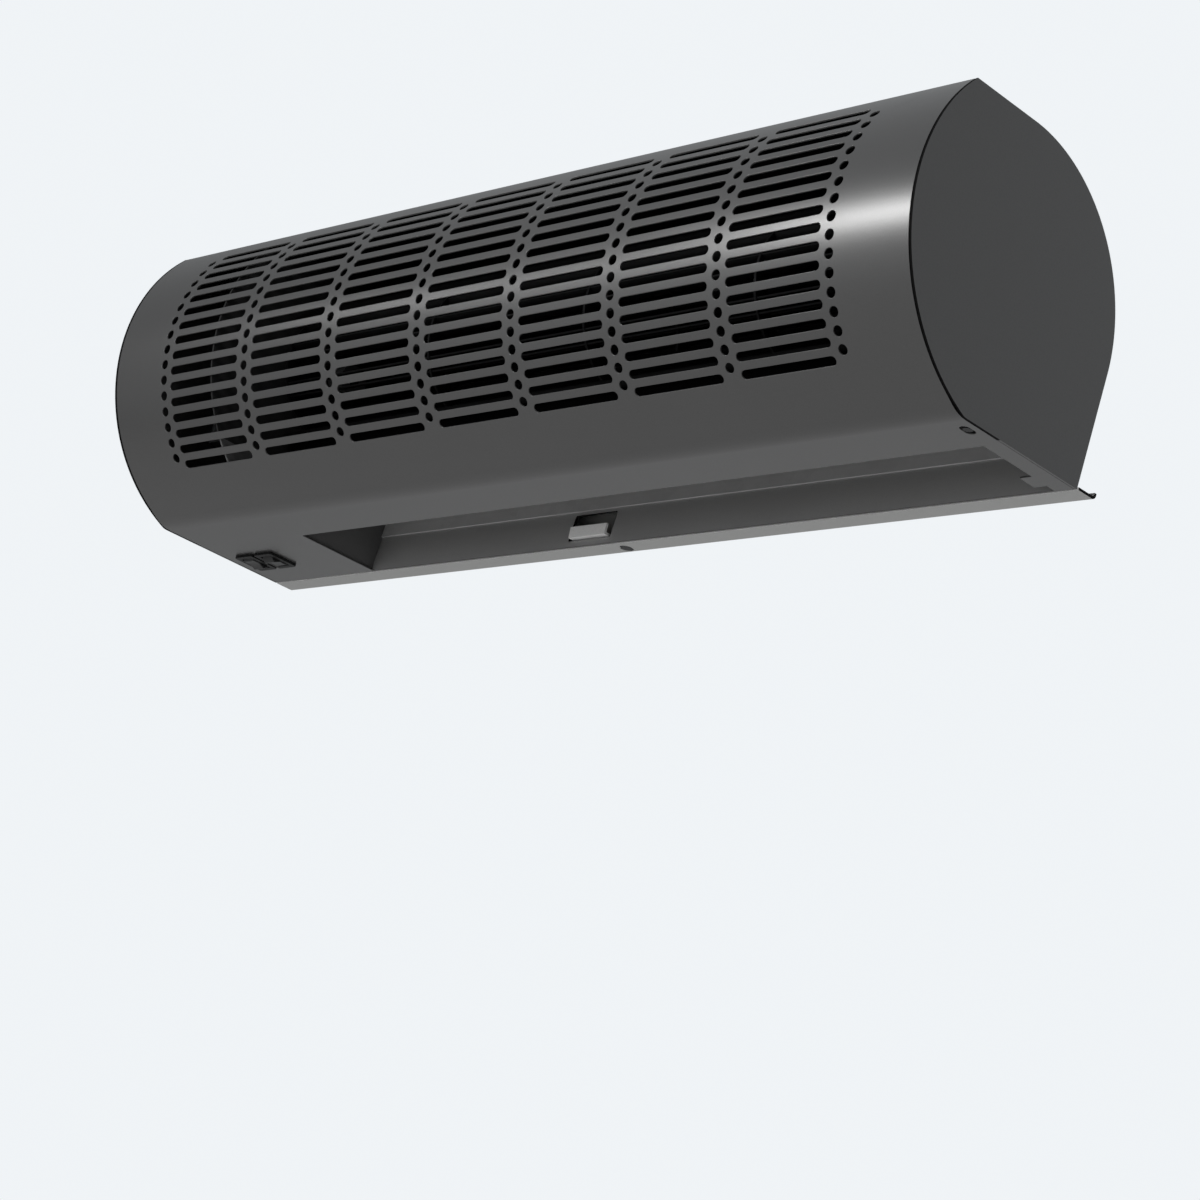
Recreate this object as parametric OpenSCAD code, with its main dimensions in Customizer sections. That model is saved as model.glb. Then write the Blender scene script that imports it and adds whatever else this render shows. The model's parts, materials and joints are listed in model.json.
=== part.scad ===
// Wall-hung air curtain: a folded sheet-steel casing with a punched intake in
// its curved front, a crossflow impeller behind it and an outlet slot below.
// +X runs along the casing, +Y points into the wall, +Z is up. The origin is
// the middle of the wall screws, on the wall.

/* [Casing] */
// Length over the end caps
casing_len = 600; // [560:5:700]
// Height from the bottom panel to the ridge
casing_h = 159; // [155:1:175]
// Distance from the wall to the foremost point of the front
casing_reach = 165; // [162:1:180]
// Radius of the curved front
front_curve_r = 98; // [94:1:104]
// Height of the foremost point
front_belly_h = 91; // [88:1:94]
// Slope of the front where it meets the bottom bend
chin_slope = 32; // [28:1:36]
// Outer radius of the bend between front and bottom
chin_bend_r = 20; // [12:1:26]
// Radius of the curved back
back_curve_r = 85; // [80:1:88]
// Air gap between the wall and the rearmost point of the back
back_gap = 6.6; // [5:0.2:9]
// Distance from the wall to the rear edge of the bottom
back_edge_gap = 15; // [13:0.5:17]
// Thickness of the casing sheet
sheet_t = 1; // [0.8:0.1:1.4]
// Thickness of the end caps and of the inner bulkheads
plate_t = 1.2; // [1:0.1:1.6]
// Depth of the folded rim inside each end cap
cap_rim = 10; // [8:0.5:12]

/* [Intake grille] */
// Least plain sheet between the slots and each end
grille_margin = 45; // [40:1:60]
// Least plain sheet between the last slot row and the bottom bend
chin_margin = 10; // [8:1:18]
// Distance between slot columns
col_pitch = 72; // [68:1:74]
// Distance between slot rows, along the curve
row_pitch = 9.14; // [9:0.02:9.2]
// Length of a slot over its round ends
slot_len = 60; // [50:1:62]
// Width of a slot
slot_w = 4.8; // [4:0.1:5.2]
// Diameter of the round holes between the columns
hole_d = 5.4; // [4.4:0.1:5.8]
// Distance from the ridge to the first row, along the curve
first_row = 15; // [14:0.5:17]
// How far the grille sits left of the casing's middle
grille_shift = 2; // [0:0.5:6]

/* [Outlet] */
// Distance from the right end of the casing to the outlet
outlet_right = 13; // [12.6:0.1:16]
// Distance from the left end of the casing to the outlet
outlet_left = 90; // [88:1:110]
// Width of the outlet, front to back, up to the rear edge of the bottom
outlet_w = 57; // [52:1:60]

/* [Fan] */
// Diameter of the impeller
impeller_d = 80; // [76:1:84]
// Blades of the impeller
blade_count = 32; // [24:1:36]
// Distance from the wall to the impeller's axis
fan_axis_gap = 78; // [76:1:80]
// Height of the impeller's axis above the bottom
fan_axis_h = 92; // [90:1:94]
// Motor shaft diameter
motor_shaft_d = 8; // [6:0.5:10]
// Stub axle diameter
stub_axle_d = 6; // [5:0.5:8]
// Radial running clearance of each shaft
running_gap = 0.05; // [0.02:0.01:0.08]
// Motor body diameter
motor_d = 60; // [54:1:64]
// Motor body length
motor_len = 52; // [44:1:54]

/* [Heater] */
// Diameter of a heating rod
rod_d = 8; // [6.5:0.5:9]
// Diameter of the rod's fins
fin_d = 24; // [18:1:26]
// Distance between fins
fin_pitch = 8; // [6:0.5:12]

/* [Switches] */
// Length of a switch bezel, front to back
bezel_len = 21; // [20:0.5:24]
// Width of a switch bezel
bezel_w = 15.6; // [15:0.2:17]
// Distance between the middles of the two switches
switch_pitch = 17.6; // [17.4:0.2:20]
// How far a rocker leans to either side
rocker_lean = 11; // [8:1:12]

/* [Wall plate] */
// Distance from each end of the casing to the wall screws
wall_hole_inset = 80; // [70:5:110]
// Height between the two rows of wall screws
wall_hole_z = 70; // [60:1:76]
// Diameter of the wall screw holes
wall_hole_d = 6; // [5:0.5:7]
// Thickness of the wall plate
wall_plate_t = 1.5; // [1.2:0.1:2]
// Height of the wall plate
wall_plate_h = 124; // [120:1:130]

/* [Hidden] */
$fn = 96;

// Overrun of every cutting shape
cut = 2;
// Gap between pieces that are pressed or screwed face to face round a curve
fit_gap = 0.1;
// Half the visible seam between a sheet and an end cap
seam = 0.3;
// How far a strip of bent sheet laps into the bend, and steps out from it
strip_lap = 0.4;
strip_step = 0.02;
// How far a round of the section stands past the straight sides that it meets
curve_over = 0.02;

// Height of the wall screws' middle above the bottom panel
wall_mid_h = 70;

// Section of the casing: circle centres, tangent points and corners, as [y, z]
front_c = [-(casing_reach - front_curve_r), front_belly_h];
back_c = [-(back_gap + back_curve_r), casing_h - back_curve_r];
back_edge = [-back_edge_gap, 0];
edge_to_c = back_c - back_edge;
back_slope = atan2(edge_to_c[1], edge_to_c[0]) - asin(back_curve_r / norm(edge_to_c));
back_normal = [sin(back_slope), -cos(back_slope)];
chin_normal = [-sin(chin_slope), -cos(chin_slope)];

// Points of the section, moved inwards by d
function apex(d) = [
  front_c[0] - sqrt(pow(front_curve_r - d, 2) - pow(casing_h - d - front_c[1], 2)),
  casing_h - d];
function top_tangent(d) = [back_c[0], casing_h - d];
function back_tangent(d) = back_c + (back_curve_r - d) * back_normal;
function back_corner(d) =
  back_tangent(d) - (back_tangent(d)[1] - d) / sin(back_slope) * [cos(back_slope), sin(back_slope)];
function chin_tangent(d) = front_c + (front_curve_r - d) * chin_normal;
function chin_corner(d) =
  chin_tangent(d) + (chin_tangent(d)[1] - d) / sin(chin_slope) * [cos(chin_slope), -sin(chin_slope)];
function chin_front(d) =
  chin_corner(d) - (chin_bend_r - d) * tan(chin_slope / 2) * [cos(chin_slope), -sin(chin_slope)];
function chin_back(d) = chin_corner(d) + [(chin_bend_r - d) * tan(chin_slope / 2), 0];

// The joints between grille sheet, outlet panel and back panel
mitre_depth = 40;
ridge_angle = asin((casing_h - front_c[1]) / front_curve_r);
front_arc = front_curve_r * (ridge_angle + 90 - chin_slope) * PI / 180;
slot_rows = floor((front_arc - first_row - chin_margin) / row_pitch);
slot_cols = floor((casing_len - 2 * grille_margin) / col_pitch);
grille_end_angle = ridge_angle - deg(first_row + slot_rows * row_pitch);
function deg(arc) = arc / front_curve_r * 180 / PI;
far = 2 * casing_reach;

// Inner stations along X
end_x = casing_len / 2;
cap_inner_x = end_x - plate_t;
sheet_end_x = cap_inner_x - seam;
outlet_x1 = end_x - outlet_right;
outlet_x0 = -end_x + outlet_left;
outlet_front_y = -(back_edge_gap + outlet_w);
bearing_wall_x = cap_inner_x - cap_rim - plate_t;
wall_step = 1.4;
drive_wall_x = outlet_x0 - wall_step;
sheet_in = sheet_t + fit_gap;

// Fan
axis_yz = [-fan_axis_gap, fan_axis_h];
impeller_r = impeller_d / 2;
blade_depth = 8;
blade_t = 0.8;
blade_curve_r = 9;
disc_t = 1.5;
disc_over = 0.4;
ring_in = 1;
ring_count = 3;
impeller_gap_left = 8.4;
impeller_gap_right = 6.6;
impeller_x0 = drive_wall_x + impeller_gap_left;
impeller_x1 = bearing_wall_x - impeller_gap_right;
hub_r = 9.5;
hub_flange_r = 13;
hub_hole_r = 14;
hub_flange_t = 4;
hub_len = 17;
shaft_r = motor_shaft_d / 2;
stub_r = stub_axle_d / 2;

// Scroll: a round back and a straight fall to its foot on the back panel
scroll_r = 51;
scroll_off_y = 5;
scroll_off_h = 6;
scroll_c = axis_yz + [scroll_off_y, -scroll_off_h];
scroll_end_angle = 145;
scroll_foot_h = 34;
scroll_foot_len = 12;
guide_t = 1;
lap_room = 0.5;

// Tongue: a rolled lip near the impeller and a guide down to the outlet
tongue_gap = 3.5;
tongue_lip_r = 4;
tongue_lip_angle = 245;
tongue_roll_angle = 200;
tongue_foot = 12;

// Motor
motor_boss_r = 11;
motor_boss_len = 6;
motor_gap = 16;
motor_x1 = drive_wall_x - motor_gap;
motor_x0 = motor_x1 - motor_len;
motor_band_r = 2;
motor_band_len = 22;
motor_fillet = 6;
cushion_r = 17;
bracket_t = 1.5;
bracket_margin = 5;
bracket_drop = 4;
motor_screw_r = 2;

// Bearing
bush_r = 8;
bush_len = 8;
bearing_cushion_r = 15;
holder_t = 1;
holder_flange = 6;

// Heater
rod_h = 34;
rod_front_y = -68;
rod_rear_y = -36;
insulator_r = 6;
insulator_flange_r = 9;
insulator_flange_t = 3;
insulator_len = 10;
fin_t = 1;
pin_r = 1.6;
pin_len = 12;

// Wall plate
lip_gap = 1;
lip_y = -(back_edge_gap - lip_gap);
plate_inset = 28;
bend_r = 3;
upstand = 0.6;
wall_hole_x = casing_len - 2 * wall_hole_inset;
hook_x = 150;
hook_w = 30;
hook_h = 118;
hook_reach = 28;
hook_rise = 7;
hook_play = 1;
hook_room = 3;
latch_x = -32;
latch_w = 28;
latch_h = 6.5;
latch_reach = 18;
latch_rise = 5;
window_w = 32;
window_z0 = 4;
window_z1 = 19.7;
lock_x = -10;
lock_y = -7;
lock_hole_r = 4;
lock_head_r = 3.5;
lock_shank_r = 2;
lock_len = 9;
tab_w = 16;
tab_past = 4;
cable_inset = 53;
cable_x = -end_x + cable_inset;
cable_h = 40;
cable_hole_off = 0.03;
cable_window_w = 38;
cable_window_h = 36;
grommet_bore_r = 5;
grommet_groove_r = 9;
grommet_flange_r = 12;
grommet_flange_t = 2;

// Switches
switch_inset = 28;
switch_mid_x = -end_x + switch_inset;
switch_mid_y = -47;
bezel_t = 1.6;
bezel_corner = 1.5;
switch_wall = 1.4;
switch_depth = 16;
pivot_h = 2.4;
key_gap = 0.35;
key_valley = 4.6;
key_back = 2;
key_slope = 13;
key_pin_r = 1.2;
key_pin_len = 1;
contact_t = 0.8;
contact_w = 4.8;
contact_len = 7;

// Screws
cover_slot_len = 9.4;
cover_slot_w = 5.6;
cover_screw_inset = 8.6;
cover_screw_x = end_x - cover_screw_inset;
cover_screw_y = -90;
screw_r = 1.6;
screw_head_r = 2.6;
screw_head_h = 0.9;
screw_len = 7;
pan_head_r = 3.5;
pan_head_h = 2;
shell_screw_inset = 6;
shell_screw_y = -110;
shell_screw_h = 45;

steel_grey = [0.27, 0.27, 0.28];
zinc = [0.62, 0.63, 0.64];
black = [0.08, 0.08, 0.09];
rubber = [0.13, 0.13, 0.13];

// Helpers

// Lifts what is measured from the bottom panel into the frame of the wall screws
module on_wall() {
  translate([0, 0, -wall_mid_h]) children();
}

// Extrudes a [y, z] outline along X
module along_x(x0, x1) {
  translate([x0, 0, 0]) rotate([90, 0, 90]) linear_extrude(x1 - x0) children();
}

// A cylinder along X round the point [y, z]
module rod_x(x0, x1, r, yz) {
  translate([x0, yz[0], yz[1]]) rotate([0, 90, 0]) cylinder(h = x1 - x0, r = r);
}

module box(low, high) {
  translate(low) cube(high - low);
}

// A wedge of the plane between two angles
module fan(from, to, r) {
  steps = ceil((to - from) / 45);
  polygon(concat([[0, 0]], [for (i = [0:steps]) let (a = from + (to - from) * i / steps)
    2 * r * [cos(a), sin(a)]]));
}

// A strip of sheet bent to an arc; t is laid on the outside of r
module arc_strip(c, r, t, from, to) {
  translate(c) intersection() {
    difference() {
      circle(r + t);
      circle(r);
    }
    fan(from, to, r + t);
  }
}

// A straight strip of sheet from p to q, t thick to its left, lapping into what it starts from
module strip(p, q, t) {
  d = (q - p) / norm(q - p);
  n = [-d[1], d[0]];
  a = p - strip_lap * d + strip_step * sign(t) * n;
  b = q + strip_step * sign(t) * n;
  polygon([a, b, b + t * n, a + t * n]);
}

// The casing's section, moved inwards by d: its straight sides, cut round by three circles
module section(d) {
  difference() {
    intersection() {
      polygon([chin_corner(d), back_corner(d), back_corner(d) + far * [cos(back_slope), sin(back_slope)],
        [-far, casing_h - d], chin_corner(d) + far * [-cos(chin_slope), sin(chin_slope)]]);
      translate([-far, d]) square([2 * far, casing_h - 2 * d]);
      union() {
        translate(front_c) circle(front_curve_r - d + curve_over);
        translate([chin_back(0)[0], -far]) square(2 * far);
      }
      union() {
        translate(back_c) circle(back_curve_r - d + curve_over);
        translate([back_c[0] - 2 * far, -far]) square(2 * far);
        translate([-far, back_tangent(d)[1] - far]) square([2 * far, far]);
      }
    }
    difference() {
      polygon([chin_front(d), chin_front(d) + cut * chin_normal, chin_corner(d) + 2 * cut * chin_normal,
        chin_back(d) - [0, cut], chin_back(d)]);
      translate([chin_back(d)[0], chin_bend_r]) circle(chin_bend_r - d + curve_over);
    }
  }
}

// A skin of thickness t, d inside the casing's outer face
module skin(d, t) {
  difference() {
    section(d);
    section(d + t);
  }
}

ridge_out = front_c + far * [-cos(ridge_angle), sin(ridge_angle)];
grille_out = front_c + far * [-cos(grille_end_angle), sin(grille_end_angle)];
mitre = (back_corner(0) - back_corner(sheet_t)) / sheet_t;
mitre_out = back_corner(0) + far * mitre;
mitre_in = back_corner(0) - mitre_depth * mitre;

module front_region() {
  polygon([front_c, ridge_out, [-far, casing_h], [-far, -casing_h], grille_out]);
}

module bottom_region() {
  polygon([front_c, grille_out, [-far, -far], mitre_out, mitre_in]);
}

module back_region() {
  polygon([front_c, ridge_out, [-far, far], [far, far], [far, -far], mitre_out, mitre_in]);
}

// Casing

// Round slot along X, drawn flat
module slot(len, w) {
  square([len - w, w], center = true);
  for (s = [-1, 1]) translate([s * (len - w) / 2, 0]) circle(w / 2);
}

// Places a flat pattern on the curved front, s along it from the ridge
module on_front(s) {
  a = ridge_angle - deg(s);
  translate([-grille_shift, front_c[0] - front_curve_r * cos(a), front_c[1] + front_curve_r * sin(a)])
    rotate([90 - a, 0, 0]) translate([0, 0, -sheet_t - cut]) linear_extrude(sheet_t + 2 * cut) children();
}

module grille_sheet() {
  color(steel_grey) on_wall() difference() {
    along_x(-sheet_end_x, sheet_end_x) intersection() {
      skin(0, sheet_t);
      front_region();
    }
    for (row = [0:slot_rows - 1]) on_front(first_row + row * row_pitch)
      for (col = [0:slot_cols - 1])
        translate([(col - (slot_cols - 1) / 2) * col_pitch, 0]) slot(slot_len, slot_w);
    for (row = [0:slot_rows - 2]) on_front(first_row + (row + 1 / 2) * row_pitch)
      for (col = [0:slot_cols])
        translate([(col - slot_cols / 2) * col_pitch, 0]) circle(hole_d / 2);
  }
}

// The small tab of bottom sheet that stands into the outlet by the bearing wall
outlet_tab_w = 7.5;
outlet_tab_d = 12;
outlet_tab_y = -34;

module outlet_panel() {
  color(steel_grey) on_wall() difference() {
    along_x(-sheet_end_x, sheet_end_x) intersection() {
      skin(0, sheet_t);
      bottom_region();
    }
    difference() {
      box([outlet_x0, outlet_front_y, -cut], [outlet_x1, cut, sheet_t + cut]);
      box([outlet_x1 - outlet_tab_w, outlet_tab_y, -2 * cut],
        [outlet_x1 + cut, outlet_tab_y + outlet_tab_d, sheet_t + 2 * cut]);
    }
    for (s = [-1, 1]) translate([switch_mid_x + s * switch_pitch / 2, switch_mid_y, -cut])
      linear_extrude(sheet_t + 2 * cut) square([switch_body_w + 2 * fit_gap,
        switch_body_len + 2 * fit_gap], center = true);
    translate([cover_screw_x, cover_screw_y, -cut]) rotate([0, 0, 90])
      linear_extrude(sheet_t + 2 * cut) slot(cover_slot_len, cover_slot_w);
  }
}

// Stands a shape on the sloping back, h above the bottom, its Z along the normal
module on_back(x, h) {
  p = back_corner(0) + h / sin(back_slope) * [cos(back_slope), sin(back_slope)];
  translate([x, p[0], p[1]]) rotate([back_slope - 180, 0, 0]) children();
}

// Where the shell screws sit at each end: through the top and through the back
module at_shell_screws(x) {
  translate([x, shell_screw_y, casing_h]) children();
  on_back(x, shell_screw_h) children();
}

ridge_lap = 9;

// Where the back panel's stepped edge laps under the grille sheet
module lap_region(over) {
  translate([apex(0)[0] - ridge_lap - over, casing_h - ridge_lap]) square([3 * ridge_lap + 2 * over, 2 * ridge_lap]);
}

module back_panel() {
  tab_z = wall_plate_t + 2 * fit_gap;
  color(steel_grey) on_wall() difference() {
    union() {
      along_x(-sheet_end_x, sheet_end_x) intersection() {
        skin(0, sheet_t);
        back_region();
      }
      along_x(-sheet_end_x + cap_rim, sheet_end_x - cap_rim) intersection() {
        skin(sheet_in, sheet_t);
        lap_region(0);
      }
      along_x(-sheet_end_x + cap_rim, sheet_end_x - cap_rim) intersection() {
        skin(sheet_t, fit_gap);
        translate([apex(0)[0] + ridge_lap / 2, casing_h - ridge_lap]) square([ridge_lap, 2 * ridge_lap]);
      }
      box([lock_x - tab_w / 2, -back_edge_gap, tab_z], [lock_x + tab_w / 2, lock_y + tab_past, tab_z + plate_t]);
    }
    for (s = [-1, 1]) box([s * hook_x - hook_w / 2 - hook_play, -hook_reach - cut, hook_h - hook_room],
      [s * hook_x + hook_w / 2 + hook_play, 0, hook_h + hook_rise + hook_play]);
    box([latch_x - window_w / 2, -latch_reach - cut, window_z0], [latch_x + window_w / 2, 0, window_z1]);
    on_back(cable_x - cable_hole_off, cable_h)
      cylinder(h = 4 * cut, r = grommet_groove_r + fit_gap, center = true);
    translate([lock_x, lock_y, 0]) cylinder(h = 3 * plate_t + cut, r = lock_shank_r);
    for (s = [-1, 1]) at_shell_screws(s * (end_x - shell_screw_inset))
      cylinder(h = 3 * cut, r = screw_r, center = true);
  }
}

module end_cap() {
  along_x(cap_inner_x, end_x) section(0);
  difference() {
    along_x(cap_inner_x - cap_rim, cap_inner_x) skin(sheet_in, plate_t);
    translate([cover_screw_x, cover_screw_y, 0]) cylinder(h = sheet_t + plate_t + cut, r = screw_r);
    at_shell_screws(end_x - shell_screw_inset) cylinder(h = 4 * cut, r = screw_r, center = true);
  }
}

module right_end_cap() {
  color(steel_grey) on_wall() end_cap();
}

module left_end_cap() {
  color(steel_grey) on_wall() mirror([1, 0, 0]) end_cap();
}

// Wall plate

module wall_plate() {
  color(zinc) on_wall() difference() {
    union() {
      along_x(-end_x + plate_inset, end_x - plate_inset)
        translate([-wall_plate_t, bend_r]) square([wall_plate_t, wall_plate_h - bend_r]);
      along_x(-end_x, end_x) {
        translate([-wall_plate_t, bend_r]) square([wall_plate_t, upstand]);
        translate([lip_y, 0]) square([-lip_y - bend_r, wall_plate_t]);
        arc_strip([-bend_r, bend_r], bend_r - wall_plate_t, wall_plate_t, 270, 360);
      }
      for (s = [-1, 1]) along_x(s * hook_x - hook_w / 2, s * hook_x + hook_w / 2) {
        translate([-hook_reach, hook_h - wall_plate_t]) square([hook_reach, wall_plate_t]);
        translate([-hook_reach, hook_h - wall_plate_t]) square([wall_plate_t, hook_rise + wall_plate_t]);
      }
      along_x(latch_x - latch_w / 2, latch_x + latch_w / 2) {
        translate([-latch_reach, latch_h - wall_plate_t]) square([latch_reach, wall_plate_t]);
        translate([-latch_reach, latch_h - wall_plate_t]) square([wall_plate_t, latch_rise + wall_plate_t]);
      }
    }
    for (x = [-1, 1], z = [-1, 1])
      translate([x * wall_hole_x / 2, 0, wall_mid_h + z * wall_hole_z / 2]) rotate([90, 0, 0])
        cylinder(h = 2 * cut + wall_plate_t, r = wall_hole_d / 2, center = true);
    translate([lock_x, lock_y, -cut]) cylinder(h = wall_plate_t + 2 * cut, r = lock_hole_r);
    box([cable_x - cable_window_w / 2, -wall_plate_t - cut, cable_h - cable_window_h / 2],
      [cable_x + cable_window_w / 2, cut, cable_h + cable_window_h / 2]);
  }
}

// A screw standing along Z with its head's underside at zero, head up
module screw(shank, len, head, head_h) {
  translate([0, 0, -len]) cylinder(h = len, r = shank);
  cylinder(h = head_h, r = head);
}

module locking_screw() {
  seat_z = wall_plate_t + 2 * fit_gap;
  color(black) on_wall() translate([lock_x, lock_y, seat_z]) mirror([0, 0, 1])
    screw(lock_shank_r, lock_len, lock_head_r, seat_z - fit_gap);
}

module cover_screw() {
  color(black) on_wall() translate([cover_screw_x, cover_screw_y, sheet_in]) mirror([0, 0, 1])
    screw(screw_r, screw_len, screw_head_r, screw_head_h);
}

module shell_screws() {
  color(black) on_wall() for (s = [-1, 1]) at_shell_screws(s * (end_x - shell_screw_inset))
    screw(screw_r, screw_len, pan_head_r, pan_head_h);
}

// Duct between the bulkheads

module bulkhead(x) {
  along_x(x, x + plate_t) difference() {
    section(sheet_in);
    intersection() {
      skin(0, sheet_in + sheet_t + fit_gap);
      lap_region(lap_room);
    }
  }
}

module rod_holes(x0, x1) {
  for (y = [rod_front_y, rod_rear_y]) rod_x(x0, x1, insulator_r, [y, rod_h]);
}

module drive_bulkhead() {
  x = drive_wall_x - plate_t;
  color(zinc) on_wall() difference() {
    union() {
      bulkhead(x);
      box([x - cap_rim, chin_back(sheet_in)[0], sheet_in], [x, outlet_front_y + cap_rim, sheet_in + plate_t]);
    }
    rod_x(x - cut, x + plate_t + cut, hub_hole_r, axis_yz);
    rod_holes(x - cut, x + plate_t + cut);
    for (y = bracket_screw_y()) rod_x(x - cut, x + plate_t + cut, motor_screw_r, [y, bracket_screw_h]);
  }
}

module bearing_bulkhead() {
  color(zinc) on_wall() difference() {
    bulkhead(bearing_wall_x);
    rod_x(bearing_wall_x - cut, bearing_wall_x + plate_t + cut, bush_r, axis_yz);
    rod_holes(bearing_wall_x - cut, bearing_wall_x + plate_t + cut);
  }
}

scroll_foot = [back_corner(sheet_in)[0] + (scroll_foot_h - sheet_in) / tan(back_slope), scroll_foot_h];
foot_to_c = scroll_c - scroll_foot;
scroll_slope = atan2(foot_to_c[1], foot_to_c[0]) - asin((scroll_r + guide_t) / norm(foot_to_c));
scroll_normal = [sin(scroll_slope), -cos(scroll_slope)];

module scroll_sheet() {
  up = [cos(scroll_slope), sin(scroll_slope)];
  start = scroll_c + (scroll_r + strip_step) * scroll_normal + strip_lap * up;
  end = scroll_foot - scroll_foot_len * [cos(back_slope), sin(back_slope)];
  color(zinc) on_wall() along_x(drive_wall_x, bearing_wall_x) {
    arc_strip(scroll_c, scroll_r, guide_t, scroll_slope - 90, scroll_end_angle);
    polygon([start, scroll_foot - guide_t * scroll_normal, end - guide_t * back_normal, end,
      scroll_foot, start + guide_t * scroll_normal]);
  }
}

module tongue_sheet() {
  lip_c = axis_yz + (impeller_r + tongue_gap + tongue_lip_r) * [cos(tongue_lip_angle), sin(tongue_lip_angle)];
  foot = [outlet_front_y - guide_t, sheet_in];
  run = foot - lip_c;
  side = acos((tongue_lip_r - guide_t) / norm(run));
  leave_angle = atan2(run[1], run[0]) + side;
  n = [cos(leave_angle), sin(leave_angle)];
  color(zinc) on_wall() along_x(drive_wall_x, bearing_wall_x) {
    arc_strip(lip_c, tongue_lip_r - guide_t, guide_t, leave_angle, leave_angle + tongue_roll_angle);
    strip(lip_c + (tongue_lip_r - guide_t) * n, foot, guide_t);
    translate(foot - [tongue_foot, 0]) square([tongue_foot + guide_t, guide_t]);
  }
}

// Impeller and its shafts

module impeller() {
  color(black) on_wall() difference() {
    union() {
      along_x(impeller_x0 + disc_t / 2, impeller_x1 - disc_t / 2) translate(axis_yz)
        for (i = [0:blade_count - 1]) rotate(i * 360 / blade_count) blade();
      for (i = [1:ring_count]) let (x = impeller_x0 + (impeller_x1 - impeller_x0 - disc_t) * i / (ring_count + 1))
        difference() {
          rod_x(x, x + disc_t, impeller_r, axis_yz);
          rod_x(x - cut, x + disc_t + cut, impeller_r - blade_depth - ring_in, axis_yz);
        }
      rod_x(impeller_x0, impeller_x0 + disc_t, impeller_r, axis_yz);
      rod_x(impeller_x1 - disc_t, impeller_x1, impeller_r, axis_yz);
    }
    rod_x(impeller_x0 - cut, impeller_x0 + 2 * cut, hub_r, axis_yz);
    rod_x(impeller_x1 - 2 * cut, impeller_x1 + cut, stub_r, axis_yz);
  }
}

// One blade: the arc of a small circle between the impeller's inner and outer radius
module blade() {
  intersection() {
    difference() {
      circle(impeller_r - disc_over);
      circle(impeller_r - blade_depth);
    }
    translate([impeller_r - blade_depth / 2, 0]) difference() {
      circle(blade_curve_r);
      circle(blade_curve_r - blade_t);
    }
    translate([impeller_r - 2 * blade_depth, 0]) square([3 * blade_depth, 3 * blade_depth]);
  }
}

module drive_hub() {
  x = impeller_x0;
  color(rubber) on_wall() difference() {
    union() {
      rod_x(x - hub_flange_t, x, hub_flange_r, axis_yz);
      rod_x(x - hub_flange_t, x - hub_flange_t + hub_len, hub_r, axis_yz);
    }
    rod_x(x - hub_flange_t - cut, x + hub_len + cut, shaft_r, axis_yz);
  }
}

module motor_shaft() {
  color(zinc) on_wall() rod_x(motor_x0 - motor_boss_len - cut, impeller_x0 - hub_flange_t + hub_len,
    shaft_r, axis_yz);
}

module stub_axle() {
  x = impeller_x1 - disc_t;
  color(zinc) on_wall() {
    rod_x(x - hub_flange_t / 2, x, hub_r, axis_yz);
    rod_x(x - hub_flange_t / 2, bearing_wall_x + plate_t + bush_len, stub_r, axis_yz);
  }
}

// Motor

module motor_housing() {
  r = motor_d / 2;
  color("silver") on_wall() translate([motor_x0, axis_yz[0], axis_yz[1]]) rotate([0, 90, 0])
    rotate_extrude() {
      inner = shaft_r + running_gap;
      translate([inner, -motor_boss_len])
        square([motor_boss_r - inner, motor_len + 2 * motor_boss_len]);
      translate([inner, motor_fillet]) square([r - inner, motor_len - 2 * motor_fillet]);
      translate([inner, 0]) square([r - motor_fillet - inner, motor_len]);
      for (z = [motor_fillet, motor_len - motor_fillet]) translate([r - motor_fillet, z]) circle(motor_fillet);
      translate([inner, (motor_len - motor_band_len) / 2]) square([r + motor_band_r - inner, motor_band_len]);
    }
}

module motor_cushions() {
  color(rubber) on_wall() for (x = [motor_x0 - motor_boss_len, motor_x1]) difference() {
    rod_x(x, x + motor_boss_len, cushion_r, axis_yz);
    rod_x(x - cut, x + motor_boss_len + cut, motor_boss_r, axis_yz);
  }
}

bracket_h = fan_axis_h - motor_d / 2 - motor_band_r - bracket_drop;
bracket_screw_h = bracket_h - 2 * bracket_margin;
function bracket_screw_y() = [for (s = [-1, 1]) axis_yz[0] + s * (cushion_r + bracket_margin - 2 * motor_screw_r)];

module bracket_ear(x) {
  along_x(x, x + bracket_t) difference() {
    union() {
      translate(axis_yz) circle(cushion_r + bracket_margin);
      translate([axis_yz[0] - cushion_r - bracket_margin, bracket_h])
        square([2 * (cushion_r + bracket_margin), axis_yz[1] - bracket_h]);
    }
    translate(axis_yz) circle(cushion_r);
  }
}

module motor_bracket() {
  low_y = axis_yz[0] - cushion_r - bracket_margin;
  high_y = axis_yz[0] + cushion_r + bracket_margin;
  first_x = motor_x0 - motor_boss_len / 2 - bracket_t / 2;
  last_x = drive_wall_x - plate_t;
  color(zinc) on_wall() difference() {
    union() {
      bracket_ear(first_x);
      bracket_ear(motor_x1 + motor_boss_len / 2 - bracket_t / 2);
      box([first_x, low_y, bracket_h - bracket_t], [last_x, high_y, bracket_h]);
      box([last_x - bracket_t, low_y, bracket_h - 3 * bracket_margin], [last_x, high_y, bracket_h]);
    }
    for (y = bracket_screw_y()) rod_x(last_x - bracket_t - cut, last_x + cut, motor_screw_r, [y, bracket_screw_h]);
  }
}

module motor_screws() {
  x = drive_wall_x - plate_t - bracket_t;
  color(black) on_wall() for (y = bracket_screw_y()) translate([x, y, bracket_screw_h]) rotate([0, -90, 0])
    screw(motor_screw_r, bracket_t + plate_t + cut, pan_head_r, pan_head_h);
}

// Bearing

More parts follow.
